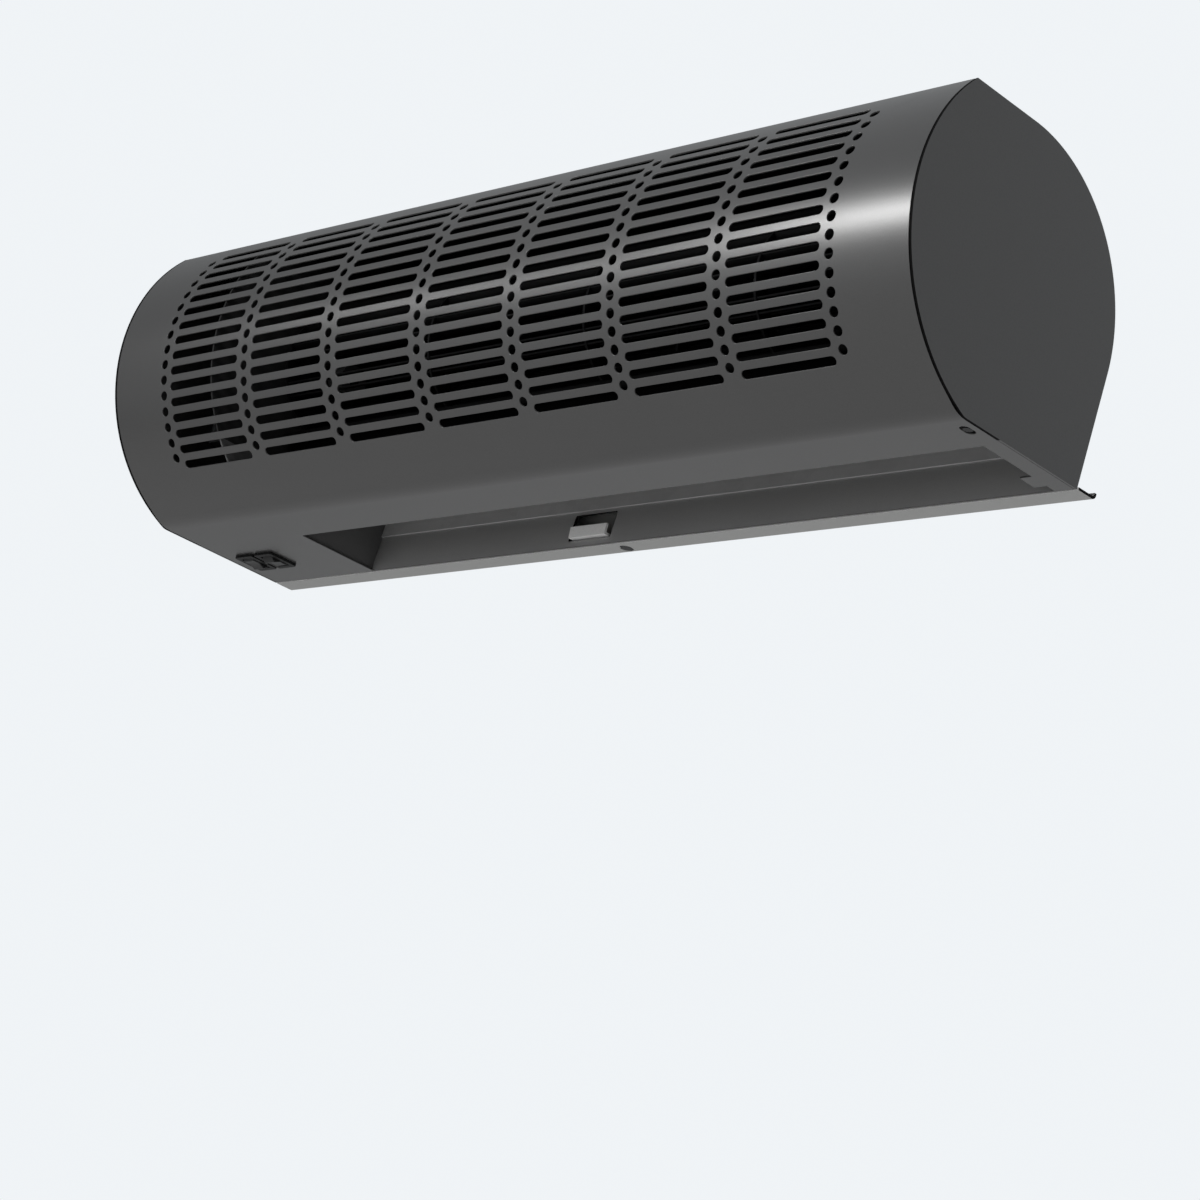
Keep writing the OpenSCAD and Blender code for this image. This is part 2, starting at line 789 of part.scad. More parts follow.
module bearing_bush() {
  x = bearing_wall_x + plate_t;
  color("peru") on_wall() difference() {
    rod_x(x, x + bush_len, bush_r, axis_yz);
    rod_x(x - cut, x + bush_len + cut, stub_r + running_gap, axis_yz);
  }
}

module bearing_cushion() {
  x = bearing_wall_x + plate_t;
  color(rubber) on_wall() difference() {
    rod_x(x, x + bush_len, bearing_cushion_r, axis_yz);
    rod_x(x - cut, x + bush_len + cut, bush_r, axis_yz);
  }
}

module bearing_holder() {
  x = bearing_wall_x + plate_t;
  color(zinc) on_wall() difference() {
    union() {
      rod_x(x, x + bush_len, bearing_cushion_r + holder_t, axis_yz);
      rod_x(x, x + holder_t, bearing_cushion_r + holder_t + holder_flange, axis_yz);
    }
    rod_x(x - cut, x + bush_len + cut, bearing_cushion_r, axis_yz);
  }
}

// Heater

module heating_rod(y) {
  x0 = drive_wall_x - plate_t - insulator_len;
  x1 = bearing_wall_x + plate_t + cap_rim / 2;
  fins_x0 = drive_wall_x + insulator_len;
  fins_x1 = bearing_wall_x - insulator_len;
  fins = floor((fins_x1 - fins_x0 - fin_t) / fin_pitch);
  fins_off = ((fins_x1 - fins_x0) - fins * fin_pitch - fin_t) / 2;
  color("dimgray") on_wall() {
    translate([x0, y, rod_h]) rotate([0, 90, 0]) rotate_extrude($fn = 48) polygon(concat(
      [[0, x1 - x0], [0, 0], [rod_d / 2, 0]],
      [for (i = [0:fins]) let (z = fins_x0 - x0 + fins_off + i * fin_pitch)
        each [[rod_d / 2, z], [fin_d / 2, z], [fin_d / 2, z + fin_t], [rod_d / 2, z + fin_t]]],
      [[rod_d / 2, x1 - x0]]));
    rod_x(x0 - pin_len, x0, pin_r, [y, rod_h]);
  }
}

module heating_rod_front() {
  heating_rod(rod_front_y);
}

module heating_rod_rear() {
  heating_rod(rod_rear_y);
}

module rod_insulators() {
  color("ivory") on_wall() for (y = [rod_front_y, rod_rear_y]) difference() {
    union() {
      rod_x(drive_wall_x - plate_t - insulator_len / 2, drive_wall_x + insulator_flange_t, insulator_r, [y, rod_h]);
      rod_x(drive_wall_x, drive_wall_x + insulator_flange_t, insulator_flange_r, [y, rod_h]);
      rod_x(bearing_wall_x - insulator_flange_t, bearing_wall_x + plate_t + insulator_len / 2, insulator_r,
        [y, rod_h]);
      rod_x(bearing_wall_x - insulator_flange_t, bearing_wall_x, insulator_flange_r, [y, rod_h]);
    }
    rod_x(-end_x, end_x, rod_d / 2, [y, rod_h]);
  }
}

cutout_y = -108;
cutout_h = 32;
cutout_r = 8;
cutout_depth = 6;
cutout_plate_t = 0.8;
cutout_plate_w = 24;

module thermal_cutout() {
  x = drive_wall_x - plate_t;
  color("tan") on_wall() {
    box([x - cutout_plate_t, cutout_y - cutout_plate_w / 2, cutout_h - cutout_r],
      [x, cutout_y + cutout_plate_w / 2, cutout_h + cutout_r]);
    rod_x(x - cutout_plate_t - cutout_depth, x - cutout_plate_t, cutout_r, [cutout_y, cutout_h]);
    for (s = [-1, 1]) box([x - cutout_plate_t - cutout_depth - contact_len,
      cutout_y + s * cutout_r / 2 - contact_t / 2, cutout_h - contact_w / 2],
      [x - cutout_plate_t - cutout_depth, cutout_y + s * cutout_r / 2 + contact_t / 2, cutout_h + contact_w / 2]);
  }
}

// Electrics behind the motor

tray_z0 = 62;
tray_z1 = 112;
tray_back_gap = 4;
tray_y = back_in_y(tray_z1) - tray_back_gap - plate_t;
tray_inset = 12;
tray_x0 = -end_x + tray_inset;
tray_foot = 14;
terminal_len = 52;
terminal_d = 14;
terminal_h = 18;
terminal_z = 66;
terminal_x = tray_x0 + tray_back_gap;
pole_count = 5;
pole_r = 2.4;
capacitor_r = 11;
capacitor_len = 44;
capacitor_z = 106;
clip_t = 0.8;
clip_wrap_angle = 110;
capacitor_c = [tray_y - capacitor_r - clip_t / 2, capacitor_z];

module electrics_bracket() {
  x1 = drive_wall_x - plate_t;
  color(zinc) on_wall() {
    box([tray_x0, tray_y, tray_z0], [x1, tray_y + plate_t, tray_z1]);
    box([x1 - plate_t, tray_y - tray_foot, tray_z0], [x1, tray_y, tray_z1]);
    box([tray_x0, tray_y + plate_t, tray_z0], [x1, back_in_y(tray_z0), tray_z0 + plate_t]);
    along_x(terminal_x + capacitor_len / 2, terminal_x + capacitor_len / 2 + tray_foot)
      arc_strip(capacitor_c, capacitor_r, clip_t, -clip_wrap_angle, clip_wrap_angle);
  }
}

// The inner face of the curved back at a height
function back_in_y(z) = back_c[0] + sqrt(pow(back_curve_r - sheet_in, 2) - pow(z - back_c[1], 2));

module terminal_block() {
  pole = terminal_len / pole_count;
  color("ivory") on_wall() difference() {
    union() {
      box([terminal_x, tray_y - terminal_d, terminal_z], [terminal_x + terminal_len, tray_y, terminal_z + terminal_h]);
      for (i = [1:pole_count - 1]) box([terminal_x + i * pole - contact_t / 2, tray_y - terminal_d - cut, terminal_z],
        [terminal_x + i * pole + contact_t / 2, tray_y - terminal_d, terminal_z + terminal_h]);
    }
    for (i = [0:pole_count - 1], z = [1, 3]) translate([terminal_x + (i + 1 / 2) * pole,
      tray_y - terminal_d - cut, terminal_z + z * terminal_h / 4]) rotate([-90, 0, 0])
      cylinder(h = terminal_d / 2 + cut, r = pole_r);
  }
}

module run_capacitor() {
  color("gainsboro") on_wall() {
    rod_x(terminal_x, terminal_x + capacitor_len, capacitor_r - fit_gap, capacitor_c);
    for (s = [-1, 1]) rod_x(terminal_x + capacitor_len, terminal_x + capacitor_len + contact_len, pin_r,
      capacitor_c + [s * capacitor_r / 2, 0]);
  }
}

module cable_grommet() {
  color(rubber) on_wall() on_back(cable_x, cable_h) translate([0, 0, -sheet_t]) rotate_extrude() {
    translate([grommet_bore_r, 0]) square([grommet_groove_r - grommet_bore_r, sheet_t]);
    for (z = [-grommet_flange_t, sheet_t]) translate([grommet_bore_r, z])
      square([grommet_flange_r - grommet_bore_r, grommet_flange_t]);
  }
}

// Switches

switch_body_len = bezel_len - 2 * bezel_t;
switch_body_w = bezel_w - 2 * bezel_t;
key_r = switch_body_len / 2 - switch_wall - key_gap;
key_w = switch_body_w - 2 * switch_wall - 2 * key_gap;

// Rounded rectangle, drawn flat
module rounded(w, d, r) {
  square([w - 2 * r, d], center = true);
  square([w, d - 2 * r], center = true);
  for (x = [-1, 1], y = [-1, 1]) translate([x * (w / 2 - r), y * (d / 2 - r)]) circle(r, $fn = 48);
}

module switch_body(x) {
  color(black) on_wall() translate([x, switch_mid_y, 0]) difference() {
    union() {
      translate([0, 0, -bezel_t]) linear_extrude(bezel_t) rounded(bezel_w, bezel_len, bezel_corner);
      translate([0, 0, switch_depth / 2]) cube([switch_body_w, switch_body_len, switch_depth], center = true);
      for (y = [-1, 0, 1]) translate([0, y * switch_body_len / 3, switch_depth + contact_len / 2])
        cube([contact_w, contact_t, contact_len], center = true);
    }
    translate([0, 0, -bezel_t - cut]) linear_extrude(bezel_t + cut + pivot_h + key_r / 2)
      square([key_w + 2 * key_gap, 2 * (key_r + key_gap)], center = true);
    rod_x(-key_w / 2 - key_gap - key_pin_len, key_w / 2 + key_gap + key_pin_len, key_pin_r + running_gap,
      [0, pivot_h]);
  }
}

// The rocker's section round its pivot: round ends, and a shallow valley between two faces
module rocker(x, lean) {
  tip = [key_r, -key_valley - key_r * tan(key_slope)];
  color([0.1, 0.1, 0.1]) on_wall() translate([x, switch_mid_y, pivot_h]) rotate([lean, 0, 0]) {
    along_x(-key_w / 2, key_w / 2) intersection() {
      circle(key_r);
      polygon([[-tip[0], tip[1]], [0, -key_valley], tip, [key_r, key_back], [-key_r, key_back]]);
    }
    rod_x(-key_w / 2 - key_pin_len, key_w / 2 + key_pin_len, key_pin_r, [0, 0]);
  }
}

fan_switch_x = switch_mid_x - switch_pitch / 2;
heat_switch_x = switch_mid_x + switch_pitch / 2;

module fan_switch_body() {
  switch_body(fan_switch_x);
}

module fan_switch_rocker() {
  rocker(fan_switch_x, -rocker_lean);
}

module heat_switch_body() {
  switch_body(heat_switch_x);
}

module heat_switch_rocker() {
  rocker(heat_switch_x, rocker_lean);
}

grille_sheet();
outlet_panel();
back_panel();
left_end_cap();
right_end_cap();
wall_plate();
locking_screw();
cover_screw();
shell_screws();
drive_bulkhead();
bearing_bulkhead();
scroll_sheet();
tongue_sheet();
impeller();
drive_hub();
motor_shaft();
stub_axle();
motor_housing();
motor_cushions();
motor_bracket();
motor_screws();
bearing_bush();
bearing_cushion();
bearing_holder();
heating_rod_front();
heating_rod_rear();
rod_insulators();
thermal_cutout();
electrics_bracket();
terminal_block();
run_capacitor();
cable_grommet();
fan_switch_body();
fan_switch_rocker();
heat_switch_body();
heat_switch_rocker();
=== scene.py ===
import json
import math

import bmesh
import bpy
from mathutils import Matrix, Vector
from mathutils.geometry import delaunay_2d_cdt

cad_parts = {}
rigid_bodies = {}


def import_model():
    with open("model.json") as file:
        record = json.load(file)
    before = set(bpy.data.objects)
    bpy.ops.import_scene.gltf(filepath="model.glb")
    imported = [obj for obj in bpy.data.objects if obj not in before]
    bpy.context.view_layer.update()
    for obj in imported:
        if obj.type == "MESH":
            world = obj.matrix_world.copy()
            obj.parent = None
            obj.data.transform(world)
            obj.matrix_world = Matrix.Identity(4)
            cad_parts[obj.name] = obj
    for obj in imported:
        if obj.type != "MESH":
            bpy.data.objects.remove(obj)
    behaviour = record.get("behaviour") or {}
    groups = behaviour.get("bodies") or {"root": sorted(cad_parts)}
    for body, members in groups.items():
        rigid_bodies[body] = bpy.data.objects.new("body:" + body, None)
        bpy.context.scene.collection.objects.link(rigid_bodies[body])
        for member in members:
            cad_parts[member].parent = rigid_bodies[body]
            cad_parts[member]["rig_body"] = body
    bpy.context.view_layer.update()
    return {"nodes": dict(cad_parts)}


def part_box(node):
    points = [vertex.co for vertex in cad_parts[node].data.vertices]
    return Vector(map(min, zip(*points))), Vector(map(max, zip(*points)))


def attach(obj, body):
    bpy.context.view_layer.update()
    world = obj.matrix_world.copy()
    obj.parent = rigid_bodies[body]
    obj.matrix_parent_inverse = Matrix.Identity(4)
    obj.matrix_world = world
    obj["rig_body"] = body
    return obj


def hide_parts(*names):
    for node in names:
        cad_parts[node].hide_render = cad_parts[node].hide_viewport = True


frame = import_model()
nodes = frame["nodes"]

# Camera
#
# The view is from below and to the right, as one sees the unit from under its door.
# Its place and turn come from the corners, the slot rows and the outlet of the picture.

CAMERA_PLACE = Vector((1.2603, -1.1792, -0.6410))
LOOK = Vector((-0.7046, 0.6441, 0.2977)).normalized()
RIGHT = Vector((0.7061, 0.6783, 0.2035)).normalized()
SENSOR_WIDTH, LENS, FAR_END = 36, 100.3, 30

camera = bpy.data.objects.new("camera", bpy.data.cameras.new("camera"))
camera.data.sensor_width = SENSOR_WIDTH
camera.data.lens = LENS
camera.data.clip_end = FAR_END
camera_turn = Matrix((RIGHT, RIGHT.cross(LOOK), -LOOK)).transposed().to_4x4()
camera.matrix_world = Matrix.Translation(CAMERA_PLACE) @ camera_turn
bpy.context.scene.collection.objects.link(camera)
bpy.context.scene.camera = camera

# Studio
#
# The room is bright in front, behind and above, and dark beyond both ends. Two narrow soft
# boxes put one long shine on the front, brightest near its right end. A wide one fills in.

BACKDROP = (0.87, 0.90, 0.925)
ROOM_TINT, ROOM_LEVEL = (0.99, 0.995, 1.0), 0.9
FLOOR_Z, FLOOR_REACH = -2.2, 6.0
FLOOR_TONE, FLOOR_ROUGHNESS = (0.86, 0.86, 0.86), 0.9


def soft_box(name, aim, direction, away, size, power):
    """An area light that looks at aim from a direction."""
    data = bpy.data.lights.new(name, "AREA")
    data.shape = "RECTANGLE"
    data.size, data.size_y = size
    data.energy = power
    light = bpy.data.objects.new(name, data)
    way = Vector(direction).normalized()
    light.location = Vector(aim) + way * away
    light.rotation_euler = way.to_track_quat("Z", "Y").to_euler()
    bpy.context.scene.collection.objects.link(light)


def socket(tree, value, target):
    """Links an output to an input, or sets the input to a plain value."""
    if isinstance(value, bpy.types.NodeSocket):
        tree.links.new(value, target)
    elif value is not None:
        target.default_value = value


def put(tree, kind, *plain, **named):
    """Adds a node. Capitalised names are sockets, other names are the node's own settings."""
    node = tree.nodes.new("ShaderNode" + kind)
    for name, value in named.items():
        if name[0].islower():
            setattr(node, name, value)
    for name, value in named.items():
        if not name[0].islower():
            socket(tree, value, node.inputs[name.replace("_", " ")])
    for i, value in enumerate(plain):
        socket(tree, value, node.inputs[i])
    return node


def maths(tree, operation, a, b=None, c=None):
    """The outcome of one step of arithmetic in a shader."""
    return put(tree, "Math", a, b, c, operation=operation).outputs[0]


soft_box("streak_light", aim=(0.295, -0.16, 0.02), direction=(-0.62, -0.74, 0.225), away=0.55,
         size=(0.09, 0.06), power=0.85)
soft_box("streak_tail", aim=(0.12, -0.16, 0.02), direction=(-0.62, -0.74, 0.205), away=0.75,
         size=(0.60, 0.05), power=0.62)
soft_box("front_light", aim=(0.05, -0.16, 0.02), direction=(-0.60, -0.76, 0.0), away=1.6,
         size=(1.2, 0.9), power=1.0)

world = bpy.data.worlds.new("studio")
world.use_nodes = True
sky = world.node_tree
endwise = put(sky, "SeparateXYZ", put(sky, "TexCoord").outputs["Generated"]).outputs["X"]
room_light = maths(sky, "MULTIPLY_ADD", maths(sky, "POWER", endwise, 2.0), -ROOM_LEVEL, ROOM_LEVEL)
room = sky.nodes["Background"]
room.inputs["Color"].default_value = (*ROOM_TINT, 1)
socket(sky, room_light, room.inputs["Strength"])

# The backdrop shows to the camera and in metal, where it too is dark beyond the ends.
ray = put(sky, "LightPath")
mirrored = maths(sky, "MAXIMUM", ray.outputs["Is Glossy Ray"], ray.outputs["Is Transmission Ray"])
shown = maths(sky, "MAXIMUM", ray.outputs["Is Camera Ray"], mirrored)
backdrop_light = maths(sky, "MAXIMUM", ray.outputs["Is Camera Ray"], room_light)
backdrop = put(sky, "Background", Color=(*BACKDROP, 1), Strength=backdrop_light)
either = put(sky, "MixShader", shown, room.outputs["Background"], backdrop.outputs["Background"])
socket(sky, either.outputs["Shader"], sky.nodes["World Output"].inputs["Surface"])
bpy.context.scene.world = world
bpy.context.scene.view_settings.view_transform = "Standard"

floor_paint = bpy.data.materials.new("floor")
floor_paint.use_nodes = True
floor_shader = floor_paint.node_tree.nodes["Principled BSDF"]
floor_shader.inputs["Base Color"].default_value = (*FLOOR_TONE, 1)
floor_shader.inputs["Roughness"].default_value = FLOOR_ROUGHNESS
floor_mesh = bpy.data.meshes.new("floor")
floor_corners = [(-FLOOR_REACH, -FLOOR_REACH, FLOOR_Z), (FLOOR_REACH, -FLOOR_REACH, FLOOR_Z),
                 (FLOOR_REACH, FLOOR_REACH, FLOOR_Z), (-FLOOR_REACH, FLOOR_REACH, FLOOR_Z)]
floor_mesh.from_pydata(floor_corners, [], [(0, 1, 2, 3)])
floor_mesh.materials.append(floor_paint)
floor = bpy.data.objects.new("floor", floor_mesh)
bpy.context.scene.collection.objects.link(floor)

# Casing
#
# The casing is folded from 1 mm sheet steel and screwed to its end caps. All its sheets
# follow one section: ridge, curved front, chin, its bend, underside, a sharp fold at the
# rear and a curved back. Sizes are in millimetres, and s is a length along the section.

MM = 0.001
SHEET = 1.0
FRONT_AXIS, FRONT_RADIUS = (-67.0, 21.0), 98.0
BACK_AXIS, BACK_RADIUS = (-91.6, 4.0), 85.0
CHIN_SLOPE, CHIN_BEND = math.radians(32), 20.0
UNDERSIDE, RIDGE, REAR_EDGE = -70.0, 89.0, -15.0
FACING_DOWN, FACING_UP = math.pi * 1.5, math.pi / 2
SHEET_END = 298.5


def on_circle(centre, radius, turn):
    """The point of a circle at a turn."""
    return centre[0] + radius * math.cos(turn), centre[1] + radius * math.sin(turn)


def bend(centre, radius, start, end):
    """A stretch of section round a centre, from one turn to another."""
    return {"centre": centre, "radius": radius, "start": start, "length": radius * (end - start)}


def straight(start, end):
    """A straight stretch of section between two points."""
    way = (end[0] - start[0], end[1] - start[1])
    return {"from": start, "start": math.atan2(-way[0], way[1]), "length": math.hypot(*way)}


def place_along(path, s):
    """The point (y, z) and outward normal a length s along a path of bends and straights."""
    for piece in path:
        if s <= piece["length"] or piece is path[-1]:
            break
        s -= piece["length"]
    if "radius" in piece:
        turn = piece["start"] + s / piece["radius"]
        return on_circle(piece["centre"], piece["radius"], turn), (math.cos(turn), math.sin(turn))
    normal = (math.cos(piece["start"]), math.sin(piece["start"]))
    return (piece["from"][0] - s * normal[1], piece["from"][1] + s * normal[0]), normal


ridge_turn = math.pi - math.asin((RIDGE - FRONT_AXIS[1]) / FRONT_RADIUS)
chin_turn = FACING_DOWN - CHIN_SLOPE
chin_top = on_circle(FRONT_AXIS, FRONT_RADIUS, chin_turn)
chin_corner_y = chin_top[0] + (chin_top[1] - UNDERSIDE) / math.tan(CHIN_SLOPE)
bend_axis = (chin_corner_y + CHIN_BEND * math.tan(CHIN_SLOPE / 2), UNDERSIDE + CHIN_BEND)
front_path = [
    bend(FRONT_AXIS, FRONT_RADIUS, ridge_turn, chin_turn),
    straight(chin_top, on_circle(bend_axis, CHIN_BEND, chin_turn)),
    bend(bend_axis, CHIN_BEND, chin_turn, FACING_DOWN),
    straight((bend_axis[0], UNDERSIDE), (REAR_EDGE, UNDERSIDE)),
]
reach = (BACK_AXIS[0] - REAR_EDGE, BACK_AXIS[1] - UNDERSIDE)
back_slope = math.atan2(reach[1], reach[0]) - math.asin(BACK_RADIUS / math.hypot(*reach))
back_turn = back_slope - math.pi / 2
ridge_y = on_circle(FRONT_AXIS, FRONT_RADIUS, ridge_turn)[0]
back_path = [
    straight((REAR_EDGE, UNDERSIDE), on_circle(BACK_AXIS, BACK_RADIUS, back_turn)),
    bend(BACK_AXIS, BACK_RADIUS, back_turn, FACING_UP),
    straight((BACK_AXIS[0], RIDGE), (ridge_y, RIDGE)),
]

# Paint
#
# The casing is powder-coated in a dark satin grey, with a fine orange peel, tiny flecks and
# a broad drift of tone and gloss. The insides are painted near black as painted shade, and the
# joints get a near-black painted shade line too.


def finish_group(name):
    """A new shader group, with the values it is given and the place on the piece."""
    tree = bpy.data.node_groups.new(name, "ShaderNodeTree")
    for label, kind in (("Tone", "Color"), ("Drift", "Float")):
        tree.interface.new_socket(label, in_out="INPUT", socket_type="NodeSocket" + kind)
    for label, kind in (("Color", "Color"), ("Rough", "Float"), ("Height", "Float")):
        tree.interface.new_socket(label, in_out="OUTPUT", socket_type="NodeSocket" + kind)
    return tree, tree.nodes.new("NodeGroupInput").outputs, put(tree, "TexCoord").outputs["Object"]


def hand_out(tree, colour, rough, height):
    """Ends a group with its colour, its roughness from 0 to 1 and its height."""
    result = tree.nodes.new("NodeGroupOutput")
    for value, target in zip((colour, rough, height), result.inputs):
        socket(tree, value, target)


def noise(tree, place, scale, detail, rough=0.5):
    """A cloudy value from 0 to 1."""
    return put(tree, "TexNoise", Vector=place, Scale=scale, Detail=detail, Roughness=rough).outputs["Fac"]


def cells(tree, place, scale):
    """A pattern of cells, with their colours and the distances to their middles."""
    return put(tree, "TexVoronoi", Vector=place, Scale=scale)


def share_of(tree, a, share, b):
    """A share of one value and the rest of another."""
    return maths(tree, "MULTIPLY_ADD", a, share, maths(tree, "MULTIPLY", b, 1 - share))


def swing(tree, value, drift):
    """A value from 0 to 1, made to swing round 0 as far as the drift."""
    return maths(tree, "MULTIPLY", maths(tree, "SUBTRACT", value, 0.5), drift)


def toned(tree, colour, value):
    """A colour made lighter or darker by a value round 1."""
    return put(tree, "HueSaturation", Value=value, Color=colour).outputs["Color"]


BUMP_STRENGTH = 0.6


def finish(kind, name, colour, rough, metallic=0.0, drift=0.1, bump=0.00003, **plain):
    """A material of one kind of finish. rough is its (smoothest, roughest)."""
    made = bpy.data.materials.new(name)
    made.use_nodes = True
    tree, shader = made.node_tree, made.node_tree.nodes["Principled BSDF"]
    look = tree.nodes.new("ShaderNodeGroup")
    look.node_tree = kind
    look.inputs["Tone"].default_value = (*colour, 1)
    look.inputs["Drift"].default_value = drift
    spread = maths(tree, "MULTIPLY_ADD", look.outputs["Rough"], rough[1] - rough[0], rough[0])
    bumps = put(tree, "Bump", Height=look.outputs["Height"], Distance=bump, Strength=BUMP_STRENGTH)
    tree.links.new(look.outputs["Color"], shader.inputs["Base Color"])
    tree.links.new(spread, shader.inputs["Roughness"])
    tree.links.new(bumps.outputs["Normal"], shader.inputs["Normal"])
    shader.inputs["Metallic"].default_value = metallic
    for socket_name, value in plain.items():
        shader.inputs[socket_name.replace("_", " ")].default_value = value
    return made


powder, given, here = finish_group("powder_coat")
peel = noise(powder, here, 900.0, 3.0, 0.6)
drifting = noise(powder, here, 7.0, 5.0, 0.55)
flecks = cells(powder, here, 2400.0).outputs["Distance"]
tone = maths(powder, "ADD", maths(powder, "MULTIPLY_ADD", flecks, -0.16, 1.06),
             swing(powder, drifting, given["Drift"]))
hand_out(powder, toned(powder, given["Tone"], tone), share_of(powder, drifting, 0.6, peel), peel)

casing_paint = finish(powder, "satin_casing_paint", (0.101, 0.1005, 0.10), (0.25, 0.39), metallic=0.55,
                      drift=0.10, Specular_IOR_Level=0.4)
painted_shade_inside = finish(powder, "painted_shade_inside", (0.003, 0.003, 0.003), (0.6, 0.8), drift=0.4,
                      Specular_IOR_Level=0.06)
painted_seam_shade = finish(powder, "painted_seam_shade", (0.004, 0.004, 0.004), (0.6, 0.8), drift=0.4,
                    Specular_IOR_Level=0.05)

# Grille sheet
#
# The upper front is punched flat and then rolled to its curve. Sixteen rows of long slots
# stand in seven columns, with staggered round holes between and beside the columns.

SLOT_ROWS, SLOT_COLUMNS = 16, 7
ROW_STEP, COLUMN_STEP, FIRST_ROW = 9.14, 72.0, 15.0
SLOT_LENGTH, SLOT_WIDTH, HOLE_RADIUS = 60.0, 4.8, 2.7
GRILLE_MIDDLE = -2.0
FOLD = FIRST_ROW + SLOT_ROWS * ROW_STEP
MARGIN_ROWS = (3.2, 6.4, 9.4, 156.8, 159.2)

# How every sheet is cut: its rounded edges and corners, and where an edge gets painted shade as a seam.
PUNCHED_EDGE, CORNER = 0.28, 0.5
CORNER_TURNS = [k * math.pi / 6 for k in range(4)]
SLOT_END_STEPS = 9
EDGE_SPACING = 3.0
TOUCHING, SAME_POINT = 0.001, 0.0001
SEAM_REAR, SEAM_HEIGHT = -76.0, 1.6
END_ZONE, REAR_ZONE = 0.5, 0.4


def round_hole(x, s, radius, steps=16):
    """The outline of a hole. Each point is x, s and the way into the hole."""
    turns = [2 * math.pi * i / steps for i in range(steps)]
    outline = [(*on_circle((x, s), radius, a), -math.cos(a), -math.sin(a)) for a in turns]
    return outline[::-1]


def long_hole(x, s, length, width, along_s=False):
    """A hole with round ends."""
    outline = []
    for side in (1, -1):
        middle = side * (length - width) / 2
        for i in range(SLOT_END_STEPS):
            a = math.pi * (i / (SLOT_END_STEPS - 1) - 0.5) + (0 if side > 0 else math.pi)
            dx, ds = math.cos(a), math.sin(a)
            if along_s:
                outline.append((x - width / 2 * ds, s + middle + width / 2 * dx, ds, -dx))
            else:
                outline.append((x + middle + width / 2 * dx, s + width / 2 * ds, -dx, -ds))
    return outline[::-1]


def cornered(corners, radius, spacing=None):
    """An outline with rounded corners, which run anticlockwise.

    spacing sets points along its edges across the sheet, so that they can bend with it.
    """
    outline = []
    for i, (x, s) in enumerate(corners):
        before, after = corners[i - 1], corners[(i + 1) % len(corners)]
        came = Vector((x - before[0], s - before[1])).normalized()
        goes = Vector((after[0] - x, after[1] - s)).normalized()
        turn = 1 if came.x * goes.y - came.y * goes.x > 0 else -1
        centre = Vector((x, s)) - came * radius + turn * radius * Vector((-came.y, came.x))
        start = math.atan2(-turn * came.x, turn * came.y)
        for step in CORNER_TURNS:
            a = start + turn * step
            way = turn * Vector((math.cos(a), math.sin(a)))
            spot = centre + turn * radius * way
            outline.append((spot.x, spot.y, way.x, way.y))
        if spacing and abs(goes.y) > abs(goes.x):
            run = (Vector(after) - Vector((x, s))).length - 2 * radius
            first = Vector((x, s)) + goes * radius
            count = max(int(run / spacing), 1)
            for k in range(1, count):
                spot = first + goes * run * k / count
                outline.append((spot.x, spot.y, goes.y, -goes.x))
    return outline


def sheet_border(low, high):
    """The outline of a plain sheet from end to end of the casing."""
    corners = [(-SHEET_END, low), (SHEET_END, low), (SHEET_END, high), (-SHEET_END, high)]
    return cornered(corners, CORNER, spacing=EDGE_SPACING)


def flush(outline, length):
    """The outline with its edge at this length left square, so two sheets meet without a line."""
    return [(x, length, mx, 0) if abs(s - length) <= CORNER + TOUCHING else (x, s, mx, ms)
            for x, s, mx, ms in outline]


def within(loop, x, y):
    """Whether a flat point lies inside a closed outline."""
    inside = False
    for i, (ax, ay, _, _) in enumerate(loop):
        bx, by = loop[i - 1][:2]
        if (ay > y) != (by > y) and x < ax + (y - ay) / (by - ay) * (bx - ax):
            inside = not inside
    return inside


def flat_pattern(border, holes, rows):
    """The flat sheet as points, rim edges and triangles.

    Its rim lies inside the metal by the radius of the punched edge, where the rounding starts.
    """
    loops = [[(x - mx * PUNCHED_EDGE, s - ms * PUNCHED_EDGE, mx, ms) for x, s, mx, ms in loop]
             for loop in [border] + holes]
    flat, rim, owner = [], [], []
    for k, loop in enumerate(loops):
        for i, (x, s, _, _) in enumerate(loop):
            rim.append((len(flat), len(flat) - i + (i + 1) % len(loop)))
            flat.append(Vector((x, s)))
            owner.append(k)
    for x, s in rows:
        if not any(within(loop, x, s) for loop in loops[1:]):
            flat.append(Vector((x, s)))
            owner.append(None)
    _, _, faces, came_from, _, _ = delaunay_2d_cdt(flat, rim, [], 0, SAME_POINT)
    triangles = [[came_from[i][0] for i in face] for face in faces]

    def is_metal(ids):
        k = owner[ids[0]]
        x = sum(flat[i].x for i in ids) / 3
        s = sum(flat[i].y for i in ids) / 3
        in_hole = k and all(owner[i] == k for i in ids) and within(loops[k], x, s)
        return within(loops[0], x, s) and not in_hole

    return flat, rim, [ids for ids in triangles if is_metal(ids)]


def plain_seam(place):
    """Whether a seam lies on the rear part of the underside, where it gets no painted shade."""
    return place.y > SEAM_REAR * MM and place.z < (UNDERSIDE + SEAM_HEIGHT) * MM


